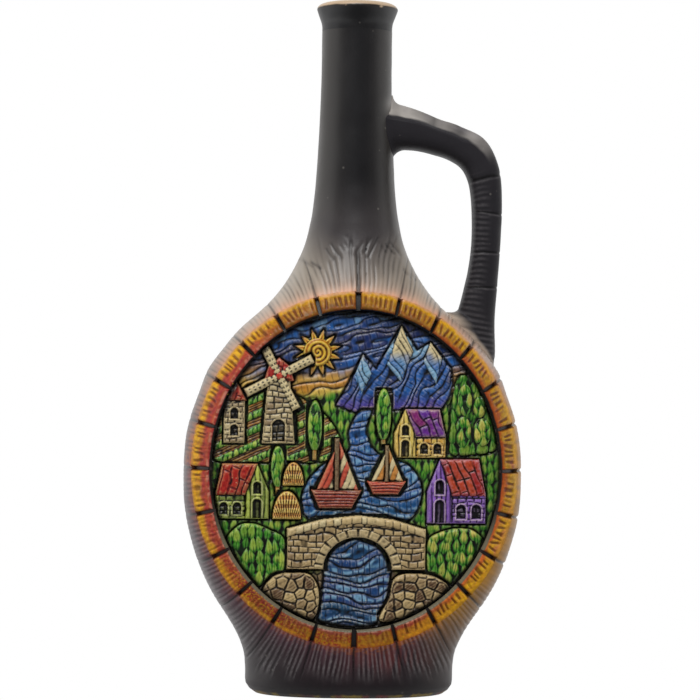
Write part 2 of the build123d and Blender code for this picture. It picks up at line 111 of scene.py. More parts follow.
def smoothCurve(knots, values, at):
    # A natural cubic spline: the bends solve a three band system, then each span is one cubic.
    knots, values = np.asarray(knots, float), np.asarray(values, float)
    gap, count = np.diff(knots), len(knots)
    inner = np.arange(1, count - 1)
    bands, right = np.eye(count), np.zeros(count)
    bands[inner, inner - 1], bands[inner, inner + 1] = gap[:-1], gap[1:]
    bands[inner, inner] = 2 * (gap[:-1] + gap[1:])
    right[1:-1] = 6 * np.diff(np.diff(values) / gap)
    bend = np.linalg.solve(bands, right)
    span = np.clip(np.searchsorted(knots, at) - 1, 0, count - 2)
    near, far, width = at - knots[span], knots[span + 1] - at, gap[span]
    cubic = (bend[span] * far ** 3 + bend[span + 1] * near ** 3) / (6 * width)
    return (cubic + (values[span] / width - bend[span] * width / 6) * far
            + (values[span + 1] / width - bend[span + 1] * width / 6) * near)


def along(corners, count):
    # Evenly spaced points along straight runs: the run lengths are added up and shared out.
    corners = np.asarray(corners, float)
    run = runOf(np.linalg.norm(np.diff(corners, axis=0), axis=1))
    at = np.linspace(0, run[-1], count)
    return np.stack([np.interp(at, run, corners[:, axis]) for axis in range(corners.shape[1])], axis=-1)


# Meshes

def facesOf(grid, kind):
    # Four corners for each cell of a grid. A ring closes both ways, a tube has a face at each end, a sheet has one
    # face under its border and an open one has none.
    rows, columns = grid.shape[:2]
    number = np.arange(rows * columns).reshape(rows, columns)
    border = [number[0, :-1], number[:-1, -1], number[-1, :0:-1], number[:0:-1, 0]]
    caps = {"tube": [number[0], number[-1, ::-1]], "sheet": [np.concatenate(border)[::-1]]}.get(kind, [])
    if kind == "ring":
        number = np.vstack([number, number[:1]])
    if kind in ("ring", "tube"):
        number = np.hstack([number, number[:, :1]])
    corners = [number[:-1, :-1], number[:-1, 1:], number[1:, 1:], number[1:, :-1]]
    return np.stack(corners, axis=-1).reshape(-1, 4), caps


def volumeOf(points, quads, caps):
    # Six times the signed volume: the triple product of each triangle, added up.
    total = 0.0
    triangles = [quads[:, [0, 1, 2]], quads[:, [0, 2, 3]]]
    triangles += [np.stack([np.full(len(cap) - 2, cap[0]), cap[1:-1], cap[2:]], axis=-1) for cap in caps]
    for three in triangles:
        a, b, c = points[three[:, 0]], points[three[:, 1]], points[three[:, 2]]
        total += np.einsum("ij,ij->", a, np.cross(b, c))
    return total


def linked(name, data):  # a new object in the scene
    thing = bpy.data.objects.new(name, data)
    bpy.context.scene.collection.objects.link(thing)
    return thing


def newMesh(name, points, faces, material):  # a smooth mesh from points in millimetres
    mesh = bpy.data.meshes.new(name)
    mesh.from_pydata((points * mm).tolist(), [], faces)
    mesh.polygons.foreach_set("use_smooth", np.ones(len(mesh.polygons), bool))
    mesh.materials.append(material)
    return mesh


def addPiece(name, grid, kind, material, slot, node, sharpAngle=50, **layers):
    # Puts a closed mesh with its paint and wear layers, which also carry painted light and shade, into the scene, faces
    # outwards.
    quads, caps = facesOf(grid, kind)
    points = grid.reshape(-1, 3)
    if volumeOf(points, quads, caps) < 0:
        quads, caps = quads[:, ::-1], [cap[::-1] for cap in caps]
    mesh = newMesh(name, points, quads.tolist() + [cap.tolist() for cap in caps], material)
    mesh.set_sharp_from_angle(angle=math.radians(sharpAngle))
    for layer, values in layers.items():
        if layer == "paint":
            colour = np.ones((len(points), 4))
            colour[:, :3] = np.clip(values.reshape(-1, 3), 0, 1)
            mesh.attributes.new(layer, "FLOAT_COLOR", "POINT").data.foreach_set("color", colour.ravel())
        else:
            mesh.attributes.new(layer, "FLOAT", "POINT").data.foreach_set("value", values.astype(float).ravel())
    piece = linked(name, mesh)
    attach(piece, "root")
    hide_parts(node)


# Shader node groups that more than one material uses

def newGroup(name, inputs, outputs):  # a group with named sockets, whose kind follows from the name
    group = bpy.data.node_groups.new(name, "ShaderNodeTree")
    kinds = {"Vector": "Vector", "Paint": "Color", "Color": "Color", "Colour": "Color"}
    for labels, way in ((inputs, "INPUT"), (outputs, "OUTPUT")):
        for label in labels:
            kind = kinds.get(label.split()[-1], "Float")
            group.interface.new_socket(label, in_out=way, socket_type="NodeSocket" + kind)
    return group, group.nodes.new("NodeGroupInput").outputs, group.nodes.new("NodeGroupOutput").inputs


def wire(tree, kind, settings=None, **sockets):
    # Adds a node: settings go on the node, sockets by name or number take a link or a value.
    node = tree.nodes.new("ShaderNode" + kind)
    for key, value in (settings or {}).items():
        setattr(node, key, value)
    for key, value in sockets.items():
        byNumber = key[0] == "i" and key[1:].isdigit()
        socket = node.inputs[int(key[1:]) if byNumber else key.replace("_", " ")]
        if isinstance(value, bpy.types.NodeSocket):
            tree.links.new(value, socket)
        else:
            socket.default_value = value
    return node


def mixColours(tree, share, first, second):
    node = wire(tree, "Mix", {"data_type": "RGBA", "clamp_result": True}, i0=share, i6=first, i7=second)
    return node.outputs[2]


def reckon(tree, how, first, second=0.0, *more):  # a sum or a product: more values are taken one after another
    total = wire(tree, "Math", {"operation": how}, i0=first, i1=second).outputs[0]
    return reckon(tree, how, total, *more) if more else total


def spread(tree, value, low, high, toLow=0.0, toHigh=1.0):  # maps low..high to toLow..toHigh, held at the ends
    return wire(tree, "MapRange", i0=value, i1=low, i2=high, i3=toLow, i4=toHigh).outputs[0]


def texture(group, kind, given, scale, **settings):  # a noise over the group's vector, at one of its scales
    return wire(group, "Tex" + kind, Vector=given["Vector"], Scale=given[scale], **settings).outputs


def makeWashGroup():
    # Dark wash left in the hollows and pale paint rubbed on the ridges, both broken up by grain.
    # On some pieces the hollow layer also carries painted shade and the ridge layer painted highlights.
    group, given, out = newGroup("washAndRub", [
        "Vector", "Paint", "Hollow", "Ridge", "Wash", "Wash Colour", "Rub", "Rub Colour", "Rub Scale"], ["Color"])
    grain = texture(group, "Noise", given, "Rub Scale", Detail=3.0, Roughness=0.6)
    broken = spread(group, grain[0], 0.3, 0.7, 0.35, 1.0)
    rub = reckon(group, "MULTIPLY", given["Ridge"], given["Rub"], broken)
    rubbed = mixColours(group, rub, given["Paint"], given["Rub Colour"])
    washed = spread(group, grain[0], 0.25, 0.75, 1.15, 0.85)
    wash = reckon(group, "MULTIPLY", given["Hollow"], given["Wash"], washed)
    share = reckon(group, "MINIMUM", wash, 1.0)
    group.links.new(mixColours(group, share, rubbed, given["Wash Colour"]), out["Color"])
    return group


def makeMottleGroup():
    # Uneven slip: broad cloudy patches and small pale specks change the colour a little.
    group, given, out = newGroup("mottle", [
        "Vector", "Color", "Patch Scale", "Patch Amount", "Speck Scale", "Speck Amount", "Speck Colour",
    ], ["Color", "Patch"])
    cloudy = texture(group, "Noise", given, "Patch Scale", Detail=5.0, Roughness=0.62)
    centred = reckon(group, "SUBTRACT", cloudy[0], 0.5)
    bright = reckon(group, "ADD", 1.0, reckon(group, "MULTIPLY", centred, given["Patch Amount"], 2.0))
    tinted = wire(group, "VectorMath", {"operation": "SCALE"}, i0=given["Color"], Scale=bright)
    dots = texture(group, "Voronoi", given, "Speck Scale")
    rare = spread(group, wire(group, "SeparateColor", Color=dots["Color"]).outputs[0], 0.90, 0.93)
    dot = reckon(group, "MULTIPLY", spread(group, dots["Distance"], 0.10, 0.22, 1.0, 0.0), rare)
    share = reckon(group, "MULTIPLY", dot, given["Speck Amount"])
    specked = mixColours(group, share, tinted.outputs[0], given["Speck Colour"])
    group.links.new(specked, out["Color"])
    group.links.new(cloudy[0], out["Patch"])
    return group


def makeGrainGroup():
    # The feel of the fired surface: fine clay grain with brush drag and a few pits, as a height.
    group, given, out = newGroup("clayGrain", [
        "Vector", "Grain Scale", "Lump Scale", "Lump Share", "Pit Scale", "Pit Depth"], ["Height"])
    fine = texture(group, "Noise", given, "Grain Scale", Detail=4.0, Roughness=0.6)
    lumps = texture(group, "Noise", given, "Lump Scale", Detail=2.0, Roughness=0.5)
    cells = texture(group, "Voronoi", given, "Pit Scale")
    pits = reckon(group, "MULTIPLY", spread(group, cells["Distance"], 0.0, 0.25, 1.0, 0.0), given["Pit Depth"])
    lumpy = reckon(group, "MULTIPLY", lumps[0], given["Lump Share"])
    total = reckon(group, "SUBTRACT", reckon(group, "ADD", fine[0], lumpy), pits)
    group.links.new(total, out["Height"])
    return group


washAndLightGroup, mottleGroup, grainGroup = makeWashGroup(), makeMottleGroup(), makeGrainGroup()

finishes = {  # what a finish can change, and the value it has where a material doesn't say
    "roughLow": 0.42, "roughHigh": 0.60, "coat": 0.0, "coatRough": 0.25, "sheenless": 0.4,
    "wash": 1.0, "washColour": (6, 5, 5), "rub": 0.3, "rubColour": (215, 200, 165), "rubScale": 900.0,
    "patchScale": 60.0, "patchAmount": 0.15, "speckScale": 230.0, "speckAmount": 0.25, "speckColour": (170, 165, 155),
    "grainScale": 1400.0, "lumpScale": 240.0, "lumpShare": 0.6, "pitScale": 420.0, "pitDepth": 0.25,
    "bump": 0.25, "bumpDistance": 0.00012,
}


def useGroup(tree, group, look, **links):
    # A group node: its sockets take their links, and a socket such as "Patch Scale" the finish patchScale.
    node = wire(tree, "Group", {"node_tree": group}, **links)
    for socket in node.inputs:
        value = look.get(socket.name[0].lower() + socket.name[1:].replace(" ", ""))
        if value is not None:
            socket.default_value = (*paint(*value), 1) if isinstance(value, tuple) else value
    return node.outputs


def firedClay(name, **changes):
    # A painted or slipped clay: its colour is the piece's paint layer, washed, rubbed, mottled and grained.
    look = {**finishes, **changes}
    material = bpy.data.materials.new(name)
    material.use_nodes = True
    tree = material.node_tree
    shader = tree.nodes["Principled BSDF"].inputs
    place = wire(tree, "TexCoord").outputs["Object"]
    if "colour" in look:  # a plain clay has one ground colour and no layers of its own
        ground, hollow, ridge = (*paint(*look["colour"]), 1), 0.0, 0.0
    else:
        ground, hollow, ridge = (wire(tree, "Attribute", {"attribute_name": layer}).outputs[output] for layer, output
                                 in (("paint", "Color"), ("hollow", "Fac"), ("ridge", "Fac")))
    mottle = useGroup(tree, mottleGroup, look, Vector=place, Color=ground)
    wash = useGroup(tree, washAndLightGroup, look, Vector=place, Paint=mottle["Color"], Hollow=hollow, Ridge=ridge)
    grain = useGroup(tree, grainGroup, look, Vector=place)
    bump = wire(tree, "Bump", Strength=look["bump"], Distance=look["bumpDistance"], Height=grain["Height"])
    rough = spread(tree, mottle["Patch"], 0.3, 0.7, look["roughLow"], look["roughHigh"])
    tree.links.new(wash["Color"], shader["Base Color"])
    tree.links.new(rough, shader["Roughness"])
    tree.links.new(bump.outputs[0], shader["Normal"])
    for socket, key in (("Specular IOR Level", "sheenless"), ("Coat Weight", "coat"), ("Coat Roughness", "coatRough")):
        shader[socket].default_value = look[key]
    return material


print("helpers and shader groups are ready")


# The flask's outside: the same rows of shares as the solids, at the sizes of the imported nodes

backLow, backHigh = nodeBox("flask_back_half")
footLow, footHigh = nodeBox("foot_ring")
lipLow, lipHigh = nodeBox("mouth_ring")
plaqueLow, plaqueHigh = nodeBox("medallion_plaque")

vessel = {
    "wall": 5.0, "footSquareness": 2.4, "bellySquareness": 4.0, "bellyRise": 79.7, "neckSeatWidth": 37.8,
    "neckWidth": 30.2, "boreWidth": 19.0, "boreLength": 50.0, "plaqueClearance": 0.3,
    # height, width, depth and squareness shares from the waist to the belly, then from the belly to the neck seat
    "lowerShares": [
        (0, 0, 0, 0), (0.055, 0.033, 0.080, 0.02), (0.109, 0.088, 0.207, 0.08), (0.217, 0.253, 0.437, 0.27),
        (0.325, 0.458, 0.620, 0.45), (0.487, 0.703, 0.816, 0.70), (0.649, 0.868, 0.931, 0.88),
        (0.810, 0.971, 0.977, 1.00), (1, 1, 1, 1),
    ],
    "upperShares": [
        (0.140, 0.985, 0.994, 1.00), (0.260, 0.928, 0.977, 0.96), (0.340, 0.870, 0.955, 0.90),
        (0.420, 0.808, 0.920, 0.81), (0.500, 0.693, 0.869, 0.70), (0.581, 0.559, 0.801, 0.55),
        (0.661, 0.380, 0.705, 0.35), (0.741, 0.235, 0.551, 0.20), (0.821, 0.134, 0.352, 0.10),
        (0.901, 0.060, 0.165, 0.03), (1, 0, 0, 0),
    ],
    "neckShares": [(0.00, 1.00), (0.18, 0.57), (0.38, 0.30), (0.64, 0.07), (1.00, 0.00)],
}
waistZ, seatZ, lipZ, topZ = backLow[2], backHigh[2], lipLow[2], lipHigh[2]
bellyZ = waistZ + vessel["bellyRise"]
wellWide = plaqueHigh[0] + vessel["plaqueClearance"]
wellTall = (plaqueHigh[2] - plaqueLow[2]) / 2 + vessel["plaqueClearance"]
wellZ = (plaqueHigh[2] + plaqueLow[2]) / 2
groundY, plaqueBackY = plaqueLow[1], plaqueHigh[1]


def vesselRows():  # height, half width, half depth and squareness, one row each
    foot = np.array([footHigh[0], footHigh[1], vessel["footSquareness"]])
    belly = np.array([backHigh[0], backHigh[1], vessel["bellySquareness"]])
    seat = np.array([vessel["neckSeatWidth"] / 2, vessel["neckSeatWidth"] / 2, 2])
    lower = np.array(vessel["lowerShares"])
    upper = np.array(vessel["upperShares"])
    low = np.column_stack([waistZ + (bellyZ - waistZ) * lower[:, 0], foot + (belly - foot) * lower[:, 1:]])
    high = np.column_stack([bellyZ + (seatZ - bellyZ) * upper[:, 0], seat + (belly - seat) * upper[:, 1:]])
    return np.vstack([low, high])


outsideRows = vesselRows()


def outline(z):  # half width, half depth and squareness of the flask at a height
    z = np.clip(z, waistZ, seatZ)
    return tuple(smoothCurve(outsideRows[:, 0], outsideRows[:, column], z) for column in (1, 2, 3))


def flaskPoint(z, angle, inset=0.0):
    # A superellipse at each height: the angle is read round the section, 0 on the right, a quarter turn in front.
    wide, deep, square = outline(z)
    across, forward = np.cos(angle), np.sin(angle)
    reach = roundness(across, forward, square)
    places = np.broadcast_arrays((wide - inset) * across * reach, -(deep - inset) * forward * reach, z)
    return np.stack(places, axis=-1)


def flaskNormal(points, step=0.05):
    # The slope of the superellipse's equation, which is 1 on the surface.
    x, y, z = np.moveaxis(points, -1, 0)

    def level(height):
        wide, deep, square = outline(height)
        return (np.abs(x) / wide) ** square + (np.abs(y) / deep) ** square

    wide, deep, square = outline(z)
    slope = np.stack([
        np.sign(x) * square / wide * (np.abs(x) / wide) ** (square - 1),
        np.sign(y) * square / deep * (np.abs(y) / deep) ** (square - 1),
        (level(z + step) - level(z - step)) / (2 * step),
    ], axis=-1)
    return slope / np.linalg.norm(slope, axis=-1, keepdims=True)


def neckRadius(z):  # the neck narrows from its seat to a straight pipe
    height = np.clip((z - seatZ) / (lipZ - seatZ), 0, 1)
    rows = np.array(vessel["neckShares"])
    width = smoothCurve(rows[:, 0], rows[:, 1], height)
    return (vessel["neckWidth"] + (vessel["neckSeatWidth"] - vessel["neckWidth"]) * width) / 2


def ringPlace(x, z):
    # Angle round the oval, clockwise from the top, and growth beyond its rim, by Newton's steps on the ellipse.
    up = z - wellZ
    growth = (np.sqrt((x / wellWide) ** 2 + (up / wellTall) ** 2) - 1) * wellWide
    for _ in range(8):
        wide, tall = np.maximum(wellWide + growth, 5), np.maximum(wellTall + growth, 5)
        error = (x / wide) ** 2 + (up / tall) ** 2 - 1
        growth = growth + error / (2 * x ** 2 / wide ** 3 + 2 * up ** 2 / tall ** 3 + 1e-9)
    return np.arctan2(x / (wellWide + growth), up / (wellTall + growth)), growth


# Carving and slip of the flask's outside, as functions of the place alone, so that every piece agrees

ring = {  # the frame of blocks in its channel, and the carving that goes out from it
    "blocks": 24, "band": 7.5, "gap": 1.35, "topGap": 1.9, "channelDepth": 2.5, "columnsPerBlock": 56,
    "grooveDepth": 0.75, "grooveSigma": 0.62, "strokes": 10, "strokeDepth": 0.36, "notchDepth": 0.45,
    "seatFillet": 0.34, "seatReach": 9.0, "waistFillet": 0.24, "waistReach": 5.0, "lumps": 0.10, "drawnIn": 0.06,
}
scratches = {  # slanted cuts at the foot of the neck: where they start, which way they run, how many, how far apart
    "fans": [
        (-1.6, 187.5, 3.8, 7.6, 4, 2.0), (-13.0, 191.0, 2.4, -4.4, 5, 1.9), (-4.6, 193.5, 1.6, -4.6, 2, 1.7),
        (8.0, 193.0, 3.6, -3.8, 5, 2.1), (-24.0, 186.5, 3.4, -2.4, 3, 2.3), (20.0, 182.0, 2.2, -3.0, 3, 2.2),
    ],
    "depth": 0.36, "sigma": 0.58,
}


def scratchMarks(x, z):
    # Each scratch is a short line, and the mark fades with the square of the distance from it.
    mark = np.zeros(np.shape(x))
    for startX, startZ, runX, runZ, count, pitch in scratches["fans"]:
        for index in range(count):
            left = startX + pitch * index
            low = startZ + 1.5 * math.sin(2.3 * index + startX) - 0.12 * abs(left)
            size = 0.75 + 0.35 * math.sin(5.1 * index + startZ)
            share = np.clip(((x - left) * runX + (z - low) * runZ) / (runX ** 2 + runZ ** 2), 0, size)
            away = np.hypot(x - left - share * runX, z - low - share * runZ)
            mark = np.maximum(mark, size * np.exp(-(away / scratches["sigma"]) ** 2))
    return mark


def ringCarving(x, y, z):
    # Grooves between blocks run on outwards, with fine strokes between them. All marks are 0 to 1.
    angle, growth = ringPlace(x, z)
    block = (angle / turn * ring["blocks"]) % ring["blocks"]
    nearest, own, within = np.round(block), block // 1, block % 1
    upward = np.cos(angle)
    speed = np.hypot((wellWide + growth) * upward, (wellTall + growth) * np.sin(angle))
    aside = (block - nearest) * turn / ring["blocks"] * speed
    atTop = (nearest % ring["blocks"] == 0) & (z > wellZ)
    beyond = np.maximum(growth - ring["band"], 0)
    onFront = 1 - smooth(4, 22, y)
    wander = 0.4 * sway(growth / 9, nearest * 3.1, 5) * smooth(0, 5, beyond)
    groove = np.exp(-((aside + wander) / (ring["grooveSigma"] * (1.1 - 0.5 * smooth(0, 14, beyond)))) ** 2)
    groove = np.where(atTop, smooth(1.15, 0.7, np.abs(aside) + 0.015 * beyond), groove)
    reach = np.where(atTop, 19, 13 + 9 * chance(nearest, 0, 3))
    groove = groove * (1 - np.where(atTop, 0.15, 0.35) * smooth(2, 16, beyond))
    groove = groove * (1 - smooth(reach - 5, reach + 1, beyond)) * onFront
    phase = within * ring["strokes"] + 0.8 * sway(within * 3 + own * 7, growth / 11, 8)
    number = np.floor(phase) + 17 * own
    profile = wave(phase) ** 1.8
    uneven = cloud(number * 1.0, growth / 6 + number * 0.37, 11)
    uneven = uneven + 0.3 * smooth(0, -0.6, upward) + 0.2 * smooth(0.3, 0.8, upward)
    strength = 0.12 + 0.88 * smooth(0.12, 0.85, uneven)
    length = 12 + 14 * chance(number, 0, 2) - 2 * smooth(0.25, 0.0, np.abs(x) / 60) * (z < wellZ)
    fade = (1 - smooth(length - 6, length + 4, beyond)) * smooth(0.0, 0.12, np.abs(within - np.round(within)))
    fade = fade * onFront * smooth(seatZ + 6, seatZ - 8, z) * smooth(waistZ - 8, waistZ + 3, z)
    fade = fade * (1 - 0.6 * smooth(4.5, 0.5, beyond) * smooth(0.3, 0.8, upward))
    fade = fade * (1 - 0.8 * smooth(0.80, 1.15, angle) * smooth(2.5, 2.1, angle))
    return angle, growth, block, groove, profile * strength * fade, fade * strength


slip = {  # the ground colours of the flask, and the heights between which they pass into each other
    "colours": {
        # Some of these colours are painted light and shade: a pale highlight spot on the neck, the well's wall dark
        # above as shade and pale below as light, and the gaps lighter at the sides and near black on top.
        "charcoal": (23, 22, 25), "smoke": (70, 65, 66), "ash": (148, 141, 141), "sand": (194, 182, 165),
        "peach": (240, 178, 142), "plum": (118, 58, 78), "gold": (208, 146, 34), "red": (128, 44, 40),
        "ember": (206, 104, 24), "rimClay": (112, 104, 84), "worn": (165, 160, 155), "wellWall": (30, 27, 27),
        "backWall": (150, 118, 88), "boreWall": (120, 96, 74), "gapLow": (38, 34, 35), "gapSide": (74, 58, 55),
        "gapTop": (12, 10, 11),
    },
    "sprayHeights": [20, 33, 58, 75, 96, 118, 135, 147, 170],
    "sprayShares": [0.0, 0.07, 0.11, 0.05, 0.04, 0.07, 0.32, 0.58, 0.90],
    "neckLow": 157, "neckHigh": 195, "neckLift": 12, "hazeLow": 186, "hazeHigh": 222,
    # The two edge shares paint a sheen: pale slip along the side edges low down and at the foot of the neck.
    "backShare": 0.5, "lowDust": 0.24, "neckDust": 0.08, "haloReach": 3.6, "goldReach": 9.0,
    "goldSector": (56, 74, 138, 164),  # degrees round the medallion, clockwise from the top
    # The pale spot after the streaks is a painted highlight on the neck beside the handle.
    "streaks": ((14, 19), (15, 5.5), 0.75), "wornSpot": ((15.5, 251), (3.2, 3.6), 0.6),  # place, size, share
}
tones = {name: paint(*rgb) for name, rgb in slip["colours"].items()}


def slipPaint(x, y, z, angle, growth):
    # Charcoal with a pale spray on the shoulders, and the blocks' colours misted out over their edge.
    # It also paints a sheen on the side edges and a highlight on the neck beside the handle.
    wide = np.where(z < seatZ, outline(z)[0], neckRadius(z))
    edge = np.clip(np.abs(x) / wide, 0, 1) ** 2
    spray = np.interp(z, slip["sprayHeights"], slip["sprayShares"])
    spray = spray * (1 - smooth(slip["neckLow"], slip["neckHigh"], z - slip["neckLift"] * edge))
    spray = spray * (1 - slip["backShare"] * smooth(2, 26, y)) * (0.90 + 0.20 * cloud(x / 9, z / 9, 21))
    forward = smooth(1.2, -0.2, y / (np.abs(x) + 1))  # the painted sheen on the side edges fades towards the back
    # Painted sheen: pale slip along the side edges, low on the belly and at the foot of the neck, mostly in front.
    spray = spray + slip["lowDust"] * edge ** 2 * smooth(75, 30, z) * forward
    spray = spray + slip["neckDust"] * edge * smooth(192, 206, z) * forward
    haze = smooth(slip["hazeHigh"], slip["hazeLow"], z) * smooth(70, 135, z)
    dark = blend(tones["charcoal"], tones["smoke"], haze)
    ground = blend(dark, blend(tones["ash"], tones["sand"], smooth(60, 140, z)), spray)
    upward = np.cos(angle)
    onRight = between(np.degrees(angle), *slip["goldSector"])
    beyond = np.maximum(growth - ring["band"], 0)
    grains = cloud(angle * 60, growth * 1.6, 27)
    emberly = smooth(3.0, 0.2, beyond + 4.4 * (grains - 0.5)) * (1 - 0.65 * smooth(4, -12, x) * (z < wellZ))
    halo = blend(tones["plum"], tones["ember"], emberly)
    halo = blend(halo, tones["peach"], smooth(-0.1, 0.7, upward) * smooth(-0.7, 0.4, beyond + grains - 0.3))
    halo = blend(halo, tones["gold"], onRight)
    reach = slip["haloReach"] * (1 - 0.3 * smooth(-0.2, 0.4, upward) + 0.5 * smooth(-0.3, -0.8, upward))
    reach = reach + (slip["goldReach"] - slip["haloReach"]) * onRight
    share = np.exp(-beyond / reach) * smooth(9, -12, y) * (0.65 + 0.5 * cloud(angle * 42, growth / 9, 23))
    share = share * (1 - 0.35 * smooth(0.97, 0.7, upward) * smooth(0, 0.3, upward) * (1 - onRight))
    ground = blend(ground, halo, np.clip(share * 0.95, 0, 1))
    place, size, share = slip["streaks"]
    streaks = patch(x, z, place, size) * smooth(0.3, 0.7, cloud(x / 1.3, z / 9, 25)) * (y < 0)
    ground = blend(ground, tones["red"], streaks * share)
    # Painted highlight: a pale spot on the front of the neck beside the handle's upper root.
    place, size, share = slip["wornSpot"]
    return blend(ground, tones["worn"], patch(x, z, place, size) * (z > seatZ) * smooth(8, 0, y) * share)


def strokeLayers(z, groove, stroke, presence, scratch):
    # On pale slip the strokes are dark lines, on dark slip their edges catch a pale rub.
    pale = smooth(60, 130, z) * (1 - smooth(196, 215, z))
    hollow = np.clip(stroke * (0.46 + 0.06 * pale) + groove * (0.90 - 0.12 * pale) + scratch * 0.52, 0, 1)
    ridge = presence * np.clip(1 - 3.0 * stroke, 0, 1) * (1 - groove) * (1.25 - 0.90 * pale)
    return hollow, np.clip(ridge, 0, 1)


def waistFill(z):  # rounds the hollow line between the foot and the flare
    return ring["waistFillet"] * np.clip(1 - np.abs(z - waistZ) / ring["waistReach"], 0, 1) ** 2


def frontShare(y):  # how deep the carving goes: all of it in front, a quarter of it at the sides
    return 0.25 + 0.75 * smooth(-3, -15, y)


def dressFlask(points, normals):
    # Moves the points in by the carving and returns the layers that the slip's material reads.
    x, y, z = np.moveaxis(points, -1, 0)
    angle, growth, _, groove, stroke, presence = ringCarving(x, y, z)
    scratch = scratchMarks(x, z) * (y < 0)
    depth = frontShare(y) * (ring["grooveDepth"] * groove + ring["strokeDepth"] * stroke) + scratches["depth"] * scratch
    lumps = ring["drawnIn"] + ring["lumps"] * sway(x / 6 + 9, z / 6 + y / 8, 31)
    fillet = ring["seatFillet"] * np.clip(1 - np.abs(z - seatZ) / ring["seatReach"], 0, 1) ** 2
    fillet = fillet + waistFill(z)
    moved = points - normals * (depth + lumps - fillet)[..., None]
    return moved, (slipPaint(x, y, z, angle, growth), *strokeLayers(z, groove, stroke, presence, scratch))


def carriedOn(layers, rest, clay, axis=0):  # the slip's layers, followed by a bare surface in the clay's colour
    bare = [np.broadcast_to(clay, rest.shape), np.zeros(rest.shape[:2]), np.zeros(rest.shape[:2])]
    joined = [np.concatenate(pair, axis=axis) for pair in zip(layers, bare)]
    return dict(zip(("paint", "hollow", "ridge"), joined))


slipFinish = {"rub": 0.50, "rubColour": (150, 145, 146), "rubScale": 700.0, "washColour": (30, 26, 27),
              "roughLow": 0.34, "roughHigh": 0.44, "speckScale": 330.0, "sheenless": 0.5}
bodySlip = firedClay("bodySlip", **slipFinish, patchAmount=0.10, speckAmount=0.22)


# Front half: one closed loop of rows, from the ring outwards over the shoulder, in at the seam and back inside

frontHalf = {
    "outerRows": 50, "innerRows": 9, "collarWall": 4.0, "ledgeWidth": 3.0, "ledgeThickness": 2.5, "softening": 5.0,
}


def gapLightAndShade(z):  # the colour inside the gaps: charcoal low down, a warm grey at the sides as painted light, near black on top as painted shade
    return blend(blend(tones["gapLow"], tones["gapSide"], smooth(30, 75, z)), tones["gapTop"], smooth(112, 150, z))


def ringEdge(angle, growth):  # a point of the grown oval, seen from the front
    return (wellWide + growth) * np.sin(angle), wellZ + (wellTall + growth) * np.cos(angle)


def sectionAngle(x, z, inset=0.0):  # the section angle of the front surface above a place
    wide, deep, square = outline(z)
    share = np.clip(np.abs(x) / (wide - inset), 0, 1)
    return np.arctan2((1 - share ** square) ** (1 / square), x / (wide - inset))


def seamTargets(angle):
    # Where each ring column meets the seam: the ray's exit, evened out round the outline.
    low, high = np.full(angle.shape, ring["band"]), np.full(angle.shape, 140.0)
    for _ in range(40):
        middle = (low + high) / 2
        x, z = ringEdge(angle, middle)
        inside = (z > waistZ) & (z < seatZ) & (np.abs(x) < outline(z)[0])
        low, high = np.where(inside, middle, low), np.where(inside, high, middle)
    x, z = ringEdge(angle, low)
    z = np.clip(z, waistZ, seatZ)
    onEnd = (z > seatZ - 0.01) | (z < waistZ + 0.01)
    section = np.where(onEnd, sectionAngle(x, z), np.where(x > 0, 0.0, math.pi))
    outlinePoints = flaskPoint(z, section)
    steps = np.linalg.norm(np.diff(outlinePoints, axis=0, append=outlinePoints[:1]), axis=-1)
    window = np.hanning(int(len(angle) * frontHalf["softening"] / 90) * 2 + 1)
    reach = len(window) // 2
    padded = np.concatenate([steps[-reach:], steps, steps[:reach]])
    evened = np.convolve(padded, window / window.sum(), mode="valid")
    rim = runOf(steps)
    want = runOf(evened)[:-1] * rim[-1] / evened.sum()
    want = want - np.interp(0, angle, want) + np.interp(0, angle, rim[:-1])
    closedZ, closedSection = np.append(z, z[0]), np.append(section, section[0])
    return np.interp(want, rim, closedZ, period=rim[-1]), np.interp(want, rim, closedSection, period=rim[-1])


